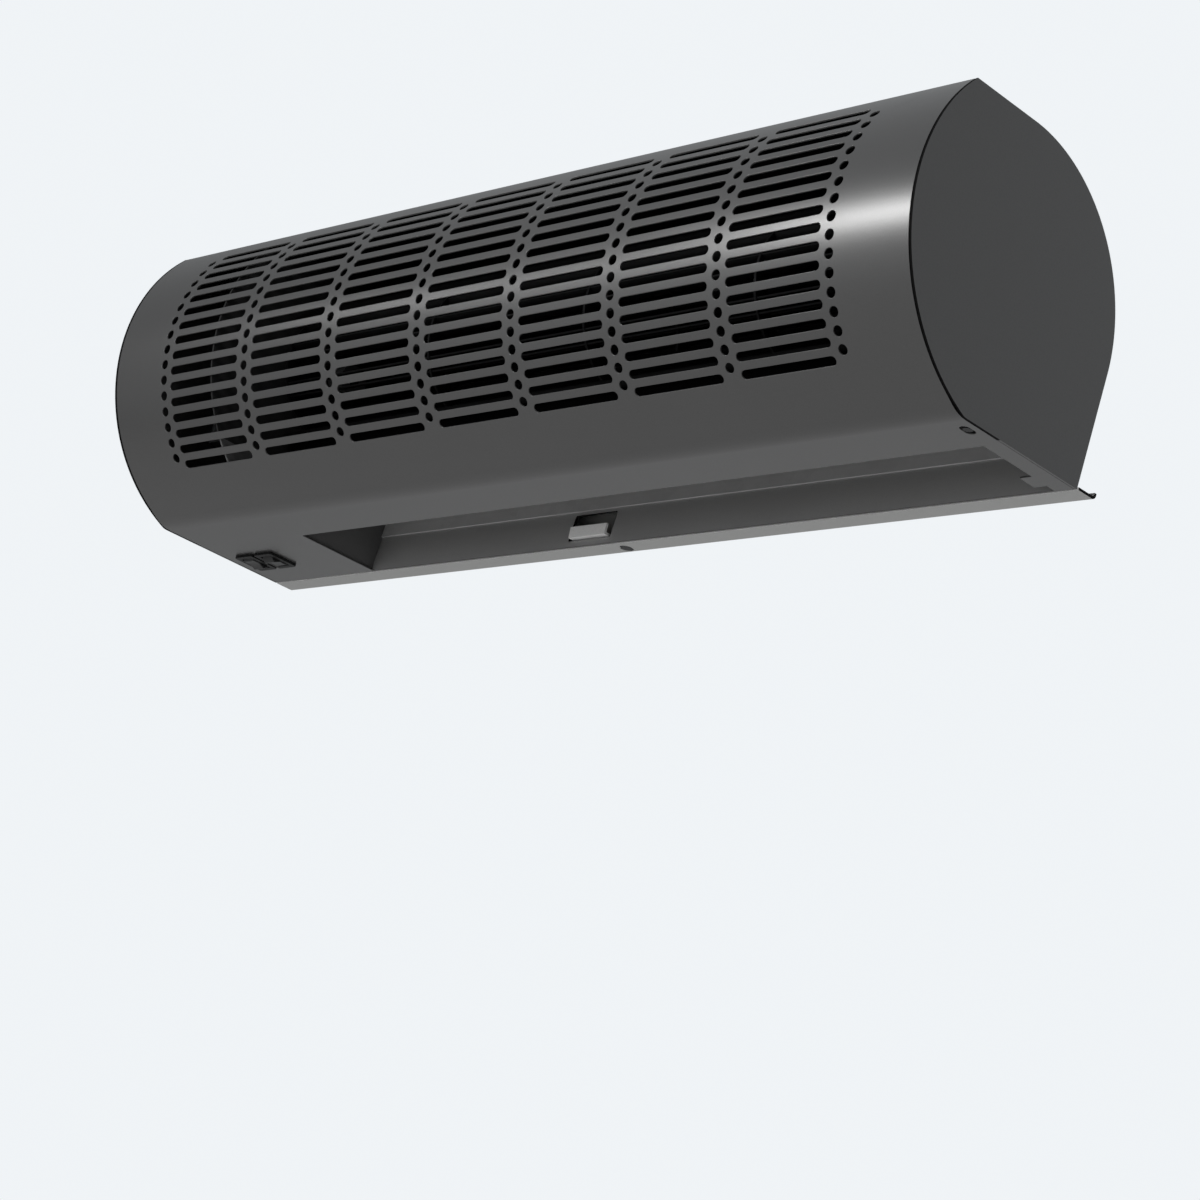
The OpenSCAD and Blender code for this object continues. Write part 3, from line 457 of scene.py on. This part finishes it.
def pressed_sheet(node, path, border, holes, made, rows):
    """A bent sheet standing for a CAD node, with rounded edges and exact normals.

    made is its paint outside, its painted shade inside, and the painted shade on the end and rear edges.
    """
    flat, rim, triangles = flat_pattern(border, holes, rows)
    points = [p for loop in [border] + holes for p in loop]
    verts, normals = [], []

    def add(x, s, depth, out, mx, ms):
        (y, z), normal = place_along(path, s)
        verts.append((x * MM, (y - depth * normal[0]) * MM, (z - depth * normal[1]) * MM))
        side = math.sqrt(max(1 - out * out, 0))
        normals.append(Vector((side * mx, out * normal[0] - side * ms * normal[1],
                               out * normal[1] + side * ms * normal[0])))

    # The outer and the inner skin, by how deep they lie and which way they face.
    skins = ((0, 1), (SHEET, -1))
    for level, way in skins:
        for turn in CORNER_TURNS:
            shrink = PUNCHED_EDGE * (1 - math.sin(turn))
            depth = level + way * PUNCHED_EDGE * (1 - math.cos(turn))
            for x, s, mx, ms in points:
                add(x - mx * shrink, s - ms * shrink, depth, way * math.cos(turn), mx, ms)
    for level, way in skins:
        for p in flat[len(points):]:
            add(p.x, p.y, level, way, 0, 0)

    # The points stand ring by ring: the outer rings, the inner rings, then those off the rim.
    ring, rings = len(points), len(CORNER_TURNS)
    under, loose = rings * ring, 2 * rings * ring
    outside = [[i if i < ring else loose + i - ring for i in reversed(ids)] for ids in triangles]
    loose += len(flat) - ring
    inside = [[under + i if i < ring else loose + i - ring for i in ids] for ids in triangles]
    edges = []
    last = (rings - 1) * ring
    for this in range(0, last, ring):
        after = this + ring
        for a, b in rim:
            edges.append([this + a, this + b, after + b, after + a])
            edges.append([under + this + b, under + this + a, under + after + a, under + after + b])
    for a, b in rim:
        edges.append([last + a, last + b, under + last + b, under + last + a])

    mesh = bpy.data.meshes.new(node + "_sheet")
    mesh.from_pydata(verts, [], outside + edges + inside)
    mesh.update()
    # The inner skin gets painted shade, and the cut edges at the ends and the rear get the painted shade
    # of the joints.
    for i, face in enumerate(mesh.polygons):
        face.use_smooth = True
        if i >= len(outside) + len(edges):
            face.material_index = 1
        elif i >= len(outside):
            at_end = abs(face.center.x) > (SHEET_END - END_ZONE) * MM and not plain_seam(face.center)
            at_rear = face.center.y > (REAR_EDGE - REAR_ZONE) * MM
            face.material_index = 2 if at_end or at_rear else 0
    mesh.normals_split_custom_set_from_vertices(normals)
    for m in made:
        mesh.materials.append(m)
    sheet = bpy.data.objects.new(node + "_sheet", mesh)
    bpy.context.scene.collection.objects.link(sheet)
    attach(sheet, nodes[node]["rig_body"])
    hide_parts(node)
    return sheet


def across(*lengths, spacing=18):
    """Rows of points at these lengths along the section, for bends that have no holes in them."""
    count = int(2 * SHEET_END / spacing)
    return [(-SHEET_END + 2 * SHEET_END * (i + 0.5) / count, s) for s in lengths for i in range(count)]


punched = []
for row in range(SLOT_ROWS):
    for column in range(SLOT_COLUMNS):
        x = GRILLE_MIDDLE + (column - (SLOT_COLUMNS - 1) / 2) * COLUMN_STEP
        punched.append(long_hole(x, FIRST_ROW + row * ROW_STEP, SLOT_LENGTH, SLOT_WIDTH))
for row in range(SLOT_ROWS - 1):
    for column in range(SLOT_COLUMNS + 1):
        x = GRILLE_MIDDLE + (column - SLOT_COLUMNS / 2) * COLUMN_STEP
        punched.append(round_hole(x, FIRST_ROW + (row + 0.5) * ROW_STEP, HOLE_RADIUS))
pressed_sheet("grille_sheet", front_path, flush(sheet_border(0, FOLD), FOLD), punched,
              (casing_paint, painted_shade_inside, painted_seam_shade), across(*MARGIN_ROWS))

# Outlet panel
#
# The front sheet goes on below the slots as chin and underside. Cut out of it are the
# outlet, with a small tab near its right end, two switch holes and a slot for a screw.

OUTLET_LEFT, OUTLET_RIGHT, OUTLET_FRONT = -210.0, 287.0, -72.0
TAB_LEFT, TAB_FRONT, TAB_REAR = 279.5, -34.0, -22.0
SWITCHES, SWITCH_Y, SWITCH_HOLE = (-280.8, -263.2), -47.0, (12.6, 18.0)
COVER_SCREW, COVER_SLOT = (291.4, -90.0), (9.4, 5.6)
CHIN_ROWS, CHIN_ROW_STEP = 4, 3.2
BEND_ROWS, BEND_ROW_STEP = 8, 1.6


def window(left, right, low, high, radius):
    """A four-sided hole with rounded corners."""
    outline = cornered([(left, low), (right, low), (right, high), (left, high)], radius)
    return [(x, s, -mx, -ms) for x, s, mx, ms in reversed(outline)]


def length_of(path):
    """The whole length of a path."""
    return sum(piece["length"] for piece in path)


def on_underside(y):
    """The length along the front path of a place on the flat underside."""
    return length_of(front_path) - (REAR_EDGE - y)


rear = length_of(front_path)
outlet_border = cornered([
    (-SHEET_END, FOLD), (SHEET_END, FOLD), (SHEET_END, rear), (OUTLET_RIGHT, rear),
    (OUTLET_RIGHT, on_underside(TAB_REAR)), (TAB_LEFT, on_underside(TAB_REAR)),
    (TAB_LEFT, on_underside(TAB_FRONT)), (OUTLET_RIGHT, on_underside(TAB_FRONT)),
    (OUTLET_RIGHT, on_underside(OUTLET_FRONT)), (OUTLET_LEFT, on_underside(OUTLET_FRONT)),
    (OUTLET_LEFT, rear), (-SHEET_END, rear)], CORNER, spacing=EDGE_SPACING)
underside_holes = [long_hole(COVER_SCREW[0], on_underside(COVER_SCREW[1]), *COVER_SLOT, along_s=True)]
for x in SWITCHES:
    half_width, half_depth, s = SWITCH_HOLE[0] / 2, SWITCH_HOLE[1] / 2, on_underside(SWITCH_Y)
    underside_holes.append(window(x - half_width, x + half_width, s - half_depth, s + half_depth, CORNER))
bend_from = front_path[0]["length"] + front_path[1]["length"]
chin_rows = [FOLD + (k + 1) * CHIN_ROW_STEP for k in range(CHIN_ROWS)]
bend_rows = [bend_from + k * BEND_ROW_STEP for k in range(BEND_ROWS)]
pressed_sheet("outlet_panel", front_path, flush(outlet_border, FOLD), underside_holes,
              (casing_paint, painted_shade_inside, painted_seam_shade), across(*chin_rows, *bend_rows))

# Back panel
#
# The back rises straight from the rear fold, curves over and ends at the ridge. It has
# windows for the wall plate's hooks and latch, a round cable hole, and inside at its foot a
# small tab for the locking screw.

WINDOW_CORNER = 0.8
HOOKS, HOOK_HALF_WIDTH, HOOK_LOW, HOOK_HIGH = (-150.0, 150.0), 16.0, 45.0, 56.0
LATCH_LEFT, LATCH_RIGHT, LATCH_LOW, LATCH_HIGH = -48.0, -16.0, -66.0, -50.3
CABLE_HOLE, CABLE_HOLE_RADIUS, CABLE_HOLE_STEPS = (-247.0, -30.0), 9.1, 32
CURVE_ROWS, CURVE_ROW_TURN, RIDGE_MARGIN, BACK_SPACING = 49, 0.035, 2.0, 30
PAINTED_SHADE_ABOVE = -38.0
LOCK_TAB_LOW, LOCK_TAB_HIGH = (-18.0, -15.6, -68.3), (-2.0, -3.0, -67.1)
LOCK_TAB_EDGE = 0.0003


def on_back(z):
    """The length along the back path of a height on its straight part."""
    return (z - UNDERSIDE) / math.sin(back_slope)


def on_curve(z):
    """The length along the back path of a height on its curve."""
    turn = math.asin((z - BACK_AXIS[1]) / BACK_RADIUS)
    return back_path[0]["length"] + BACK_RADIUS * (turn - back_turn)


top = length_of(back_path)
back_holes = [round_hole(CABLE_HOLE[0], on_back(CABLE_HOLE[1]), CABLE_HOLE_RADIUS, CABLE_HOLE_STEPS)]
for x in HOOKS:
    back_holes.append(window(x - HOOK_HALF_WIDTH, x + HOOK_HALF_WIDTH, on_curve(HOOK_LOW),
                             on_curve(HOOK_HIGH), WINDOW_CORNER))
back_holes.append(window(LATCH_LEFT, LATCH_RIGHT, on_back(LATCH_LOW), on_back(LATCH_HIGH), WINDOW_CORNER))
curve_rows = [back_path[0]["length"] + BACK_RADIUS * CURVE_ROW_TURN * k for k in range(CURVE_ROWS)]
back_rows = [on_back(PAINTED_SHADE_ABOVE)] + [s for s in curve_rows if s < top - RIDGE_MARGIN]
back_inside_painted_light = finish(powder, "back_inside_painted_light", (0.36, 0.36, 0.36), (0.45, 0.6), metallic=0.3, drift=0.2)
back_sheet = pressed_sheet("back_panel", back_path, sheet_border(0, top), back_holes,
                           (casing_paint, painted_shade_inside, painted_seam_shade, back_inside_painted_light),
                           across(*back_rows, spacing=BACK_SPACING))

# Low down, in the light of the outlet, its inside is painted lighter as painted light; above, it keeps
# the painted shade.
for face in back_sheet.data.polygons:
    if face.material_index == 1 and face.center.z < PAINTED_SHADE_ABOVE * MM:
        face.material_index = 3

lock_tab = bpy.data.objects.new("lock_tab", bpy.data.meshes.new("lock_tab"))
shape = bmesh.new()
bmesh.ops.create_cube(shape, size=1.0)
for v in shape.verts:
    v.co = Vector([(LOCK_TAB_LOW[i] if v.co[i] < 0 else LOCK_TAB_HIGH[i]) * MM for i in range(3)])
bmesh.ops.bevel(shape, geom=shape.edges[:], offset=LOCK_TAB_EDGE, segments=2, profile=0.5, affect="EDGES")
shape.to_mesh(lock_tab.data)
shape.free()
lock_tab.data.materials.append(casing_paint)
bpy.context.scene.collection.objects.link(lock_tab)
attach(lock_tab, nodes["back_panel"]["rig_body"])

# End caps
#
# Each cap is a flat plate of the casing's sheet with a rim folded inwards, which the other
# sheets are screwed to. Its rim is painted near black, as painted shade in the joint round the casing.

SAME_PLACE = 0.000002
LEVEL_ENOUGH, SHARP = math.radians(0.4), math.radians(30)


def rounded(node, made, width=0.0003, segments=2):
    """A copy of a CAD node, standing for it, with its edges rounded over a width in metres."""
    o = bpy.data.objects.new(node + "_finished", nodes[node].data.copy())
    o.data.name = node + "_finished"
    bpy.context.scene.collection.objects.link(o)
    shape = bmesh.new()
    shape.from_mesh(o.data)
    bmesh.ops.remove_doubles(shape, verts=shape.verts, dist=SAME_PLACE)
    bmesh.ops.dissolve_limit(shape, angle_limit=LEVEL_ENOUGH, verts=shape.verts, edges=shape.edges)
    for face in shape.faces:
        face.smooth = True
    shape.to_mesh(o.data)
    shape.free()
    if o.data.attributes.get("custom_normal"):
        o.data.attributes.remove(o.data.attributes["custom_normal"])
    o.data.materials.clear()
    o.data.materials.append(made)
    bevel = o.modifiers.new("edges", "BEVEL")
    bevel.width = width
    bevel.segments = segments
    bevel.limit_method = "ANGLE"
    bevel.angle_limit = SHARP
    bevel.harden_normals = True
    bevel.use_clamp_overlap = True
    o.modifiers.new("joined", "WELD").merge_threshold = SAME_PLACE
    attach(o, nodes[node]["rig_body"])
    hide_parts(node)
    return o


def paint_apart(o, made, chosen, cut_at=None, cut_facing=None):
    """Gives the chosen faces another paint, after a cut along a plane if one is given."""
    o.data.materials.append(made)
    slot = len(o.data.materials) - 1
    shape = bmesh.new()
    shape.from_mesh(o.data)
    if cut_at:
        bmesh.ops.bisect_plane(shape, geom=shape.verts[:] + shape.edges[:] + shape.faces[:],
                               plane_co=cut_at, plane_no=cut_facing)
    for face in shape.faces:
        if chosen(face):
            face.material_index = slot
    shape.to_mesh(o.data)
    shape.free()


def is_rim(face):
    """Whether a face looks up, down, forward or back, and not along the unit."""
    return abs(face.normal.x) < 0.5


def is_seam(face):
    """Whether a face of a cap is on the joint with the neighbouring sheets, which gets painted shade."""
    return is_rim(face) and not plain_seam(face.calc_center_median())


for node in ("left_end_cap", "right_end_cap"):
    paint_apart(rounded(node, casing_paint, segments=3), painted_seam_shade, is_seam,
                cut_at=(0, SEAM_REAR * MM, 0), cut_facing=(0, 1, 0))

# Wall plate
#
# The folded steel plate that is screwed to the wall has a lighter coat. Its bottom lip shows
# behind the outlet, and its bare zinc latch tab reaches through the casing's window.

LATCH_FROM_WALL, LATCH_TOP = -8.0, -50.0

plate_paint = finish(powder, "plate_paint", (0.36, 0.36, 0.352), (0.34, 0.5), metallic=0.2, drift=0.12)
latch_zinc = finish(powder, "latch_zinc", (0.9, 0.9, 0.89), (0.3, 0.45), drift=0.05)


def is_latch(face):
    """Whether a face is on the latch tab."""
    place = face.calc_center_median()
    return place.y < LATCH_FROM_WALL * MM and UNDERSIDE * MM < place.z < LATCH_TOP * MM


def is_plate_end(face):
    """Whether a face is past the ends of the sheets."""
    return abs(face.calc_center_median().x) > SHEET_END * MM


wall_plate = rounded("wall_plate", plate_paint, width=0.0004, segments=3)
paint_apart(wall_plate, latch_zinc, is_latch)
# The plate's ends, past the sheets, get painted shade like the joints.
paint_apart(wall_plate, painted_seam_shade, is_plate_end)

# Screws
#
# All screws are blackened steel. Four hold the end caps, one locks the casing to the wall
# plate's lip, one holds the underside at its right end, and two hold the motor's bracket.

blackening, given, here = finish_group("blackened_steel")
stain = noise(blackening, here, 260.0, 6.0, 0.7)
rub = noise(blackening, here, 1800.0, 2.0)
tone = maths(blackening, "MULTIPLY_ADD", stain, given["Drift"], 0.9)
hand_out(blackening, toned(blackening, given["Tone"], tone), share_of(blackening, stain, 0.5, rub), rub)

black_screw = finish(blackening, "black_screw", (0.010, 0.010, 0.0105), (0.35, 0.55), metallic=0.3,
                     drift=0.5, Specular_IOR_Level=0.25)
for name in ("locking_screw", "cover_screw", "shell_screws", "motor_screws"):
    rounded(name, black_screw, width=0.00025)

# Duct
#
# The scroll round the back of the drum is dipped zinc sheet, bare near the outlet. Deeper
# in it is painted black as painted shade, like the tongue below the drum. The two bulkheads
# that carry everything are painted dark as painted shade, and lighter near the outlet as
# painted light.

dipped, given, here = finish_group("dipped_zinc")
crystal = put(dipped, "SeparateColor", Color=cells(dipped, here, 110.0).outputs["Color"])
veil = noise(dipped, here, 28.0, 6.0, 0.65)
drawn = noise(dipped, here, 1500.0, 2.0)
tone = maths(dipped, "ADD", maths(dipped, "MULTIPLY_ADD", veil, 0.3, 0.85),
             swing(dipped, crystal.outputs[0], given["Drift"]))
uneven = share_of(dipped, crystal.outputs[1], 0.5, veil)
hand_out(dipped, toned(dipped, given["Tone"], tone), uneven, drawn)

duct_zinc = finish(dipped, "duct_zinc", (0.56, 0.56, 0.563), (0.36, 0.56), metallic=0.2, drift=0.06)
painted_shade_bulkhead = finish(powder, "painted_shade_bulkhead", (0.024, 0.024, 0.024), (0.5, 0.7), drift=0.3,
                        Specular_IOR_Level=0.1)
painted_light_bulkhead = finish(powder, "painted_light_bulkhead", (0.11, 0.11, 0.11), (0.5, 0.7), drift=0.2,
                      Specular_IOR_Level=0.2)


def is_deep(face):
    """Whether a face is high up inside."""
    return face.calc_center_median().z > PAINTED_SHADE_ABOVE * MM


def is_near_outlet(face):
    """Whether a face is low down, near the outlet."""
    return face.calc_center_median().z < PAINTED_SHADE_ABOVE * MM


# High up inside, the scroll takes painted shade; the bulkheads take painted shade above and painted light
# below.
paint_apart(rounded("scroll_sheet", duct_zinc, width=0.0002), painted_shade_inside, is_deep)
rounded("tongue_sheet", painted_shade_inside, width=0.0002)
for name in ("drive_bulkhead", "bearing_bulkhead"):
    paint_apart(rounded(name, painted_shade_bulkhead, width=0.0002), painted_light_bulkhead, is_near_outlet,
                cut_at=(0, 0, PAINTED_SHADE_ABOVE * MM), cut_facing=(0, 0, 1))

# Impeller
#
# The drum has black-anodised blades riveted into discs and rings. It turns in a rubber
# drive hub on the motor's ground shaft at one end and on a ground stub axle at the other.


def dress(node, made):
    """Gives a CAD node its material."""
    nodes[node].data.materials.clear()
    nodes[node].data.materials.append(made)


def stretched(tree, place, scales):
    """A place on the piece, scaled apart along its three axes."""
    return put(tree, "Mapping", Vector=place, Scale=scales).outputs[0]


anodised, given, here = finish_group("anodised_blades")
drawn = noise(anodised, stretched(anodised, here, (20, 900, 900)), 1.0, 4.0)
dust = noise(anodised, here, 45.0, 6.0, 0.7)
tone = maths(anodised, "MULTIPLY_ADD", drawn, given["Drift"], 0.8)
hand_out(anodised, toned(anodised, given["Tone"], tone), share_of(anodised, dust, 0.6, drawn), drawn)

dress("impeller", finish(anodised, "impeller_black", (0.007, 0.007, 0.0073), (0.4, 0.6), metallic=0.3,
                         drift=0.4, Specular_IOR_Level=0.15))

soft, given, here = finish_group("soft_rubber")
bloom = noise(soft, here, 90.0, 5.0, 0.7)
tone = maths(soft, "MULTIPLY_ADD", bloom, given["Drift"], 0.8)
hand_out(soft, toned(soft, given["Tone"], tone), bloom, noise(soft, here, 1300.0, 3.0))

rubber = finish(soft, "black_rubber", (0.018, 0.018, 0.018), (0.6, 0.85), drift=0.5, bump=0.00006)
rounded("drive_hub", rubber, width=0.0005, segments=3)

turned, given, here = finish_group("turned_steel")
rings = noise(turned, stretched(turned, here, (2600, 12, 12)), 1.0, 3.0)
tone = maths(turned, "MULTIPLY_ADD", rings, given["Drift"], 0.9)
hand_out(turned, toned(turned, given["Tone"], tone), rings, rings)

ground_steel = finish(turned, "ground_steel", (0.52, 0.52, 0.53), (0.12, 0.3), metallic=1.0, drift=0.2,
                      bump=0.000008)
for name in ("motor_shaft", "stub_axle"):
    rounded(name, ground_steel, width=0.0004)

# Motor
#
# The motor is a closed cast body with a proud band of stacked laminations. It lies in two
# rubber cushions, in a folded zinc bracket that is screwed to the drive bulkhead.

BAND_DEPTH = 0.0015

cast, given, here = finish_group("cast_alloy")
pores = noise(cast, here, 700.0, 5.0, 0.65)
cloud = noise(cast, here, 40.0, 5.0)
tone = maths(cast, "MULTIPLY_ADD", cloud, given["Drift"], 0.85)
hand_out(cast, toned(cast, given["Tone"], tone), share_of(cast, pores, 0.7, cloud), pores)

stacked, given, here = finish_group("laminations")
layers = put(stacked, "TexWave", Vector=here, Scale=314.0, wave_type="BANDS", bands_direction="X")
layer = layers.outputs["Fac"]
edge_stain = noise(stacked, here, 120.0, 5.0)
tone = maths(stacked, "ADD", maths(stacked, "MULTIPLY_ADD", layer, 0.35, 0.55),
             maths(stacked, "MULTIPLY", edge_stain, given["Drift"]))
hand_out(stacked, toned(stacked, given["Tone"], tone), edge_stain, layer)

motor_alloy = finish(cast, "motor_alloy", (0.42, 0.42, 0.43), (0.35, 0.6), metallic=0.85, drift=0.3,
                     bump=0.0001)
stator_steel = finish(stacked, "stator_steel", (0.20, 0.20, 0.215), (0.4, 0.65), metallic=0.8, drift=0.4,
                      bump=0.00012)
bracket_zinc = finish(dipped, "bracket_zinc", (0.36, 0.365, 0.37), (0.3, 0.5), metallic=0.85, drift=0.25)
motor_low, motor_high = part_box("motor_housing")
axis_y, axis_z = (motor_low[1] + motor_high[1]) / 2, (motor_low[2] + motor_high[2]) / 2
band_radius = (motor_high[1] - motor_low[1]) / 2 - BAND_DEPTH


def is_band(face):
    """Whether a face is on the rim of the laminations."""
    place = face.calc_center_median()
    return is_rim(face) and math.hypot(place.y - axis_y, place.z - axis_z) > band_radius


paint_apart(rounded("motor_housing", motor_alloy, width=0.0006, segments=3), stator_steel, is_band)
rounded("motor_cushions", rubber, width=0.0006, segments=3)
rounded("motor_bracket", bracket_zinc, width=0.0002)

# Bearing
#
# The far end of the drum runs in a sintered bronze bush, held by a rubber cushion in a
# pressed holder on the bearing bulkhead.

bronze = finish(cast, "sintered_bronze", (0.40, 0.21, 0.08), (0.3, 0.5), metallic=1.0, drift=0.4,
                bump=0.00004)
rounded("bearing_bush", bronze, width=0.0005)
rounded("bearing_cushion", rubber, width=0.0006)
rounded("bearing_holder", bracket_zinc)

# Heater
#
# Two finned steel rods cross the duct in fired ceramic bushes, and a moulded thermal cut-out
# on a bulkhead guards them. Heat has dulled the rods and tinted them straw.

STRAW = (0.30, 0.21, 0.13, 1)

heated, given, here = finish_group("heated_steel")
tint = noise(heated, here, 16.0, 4.0, 0.6)
soot = noise(heated, here, 420.0, 5.0, 0.7)

# A colour mix has its share at input 0 and its two colours at inputs 6 and 7.
tinted = put(heated, "Mix", data_type="RGBA")
socket(heated, maths(heated, "MULTIPLY", tint, given["Drift"]), tinted.inputs[0])
socket(heated, given["Tone"], tinted.inputs[6])
socket(heated, STRAW, tinted.inputs[7])
tone = maths(heated, "MULTIPLY_ADD", soot, 0.5, 0.7)
hand_out(heated, toned(heated, tinted.outputs[2], tone), soot, soot)

rod_steel = finish(heated, "rod_steel", (0.10, 0.10, 0.105), (0.3, 0.6), metallic=0.85, drift=0.8)
for name in ("heating_rod_front", "heating_rod_rear"):
    dress(name, rod_steel)

fired, given, here = finish_group("fired_clay")
specks = cells(fired, here, 900.0).outputs["Distance"]
kiln = noise(fired, here, 60.0, 6.0)
tone = maths(fired, "ADD", maths(fired, "MULTIPLY_ADD", specks, 0.12, 0.9),
             swing(fired, kiln, given["Drift"]))
hand_out(fired, toned(fired, given["Tone"], tone), kiln, specks)

ceramic = finish(fired, "fired_ceramic", (0.62, 0.58, 0.48), (0.45, 0.7), drift=0.2)
rounded("rod_insulators", ceramic, width=0.0006, segments=3)

moulded, given, here = finish_group("moulded_plastic")
grain = noise(moulded, here, 1500.0, 3.0, 0.6)
flow = noise(moulded, here, 30.0, 4.0)
tone = maths(moulded, "ADD", swing(moulded, flow, given["Drift"]), 1.0)
hand_out(moulded, toned(moulded, given["Tone"], tone), share_of(moulded, grain, 0.7, flow), grain)

cutout_resin = finish(moulded, "cutout_resin", (0.03, 0.019, 0.013), (0.3, 0.5), drift=0.3)
rounded("thermal_cutout", cutout_resin)

# Electrics
#
# A zinc tray in the switch bay carries the nylon terminal block and the motor's run
# capacitor. A rubber grommet is pressed into the back where the supply comes in.

terminal_nylon = finish(moulded, "terminal_nylon", (0.66, 0.64, 0.58), (0.35, 0.55), drift=0.15)
capacitor_shell = finish(moulded, "capacitor_shell", (0.60, 0.60, 0.58), (0.22, 0.4), drift=0.12)
rounded("electrics_bracket", bracket_zinc, width=0.0002)
rounded("terminal_block", terminal_nylon, width=0.0004)
rounded("run_capacitor", capacitor_shell, width=0.0007, segments=3)
rounded("cable_grommet", rubber, width=0.0005, segments=3)

# Switches
#
# Two black rocker switches are clipped side by side into the underside at the left end. Each
# is a moulded frame with a glossier bent key, which tips between off and on.

frame_plastic = finish(moulded, "frame_plastic", (0.006, 0.006, 0.0062), (0.45, 0.6), drift=0.2,
                       bump=0.00005, Specular_IOR_Level=0.2)
key_plastic = finish(moulded, "key_plastic", (0.008, 0.008, 0.0083), (0.3, 0.42), drift=0.15,
                     bump=0.00002, Specular_IOR_Level=0.35)
for name in ("fan_switch_body", "heat_switch_body"):
    rounded(name, frame_plastic, width=0.0005, segments=3)
for name in ("fan_switch_rocker", "heat_switch_rocker"):
    rounded(name, key_plastic, width=0.0005, segments=3)
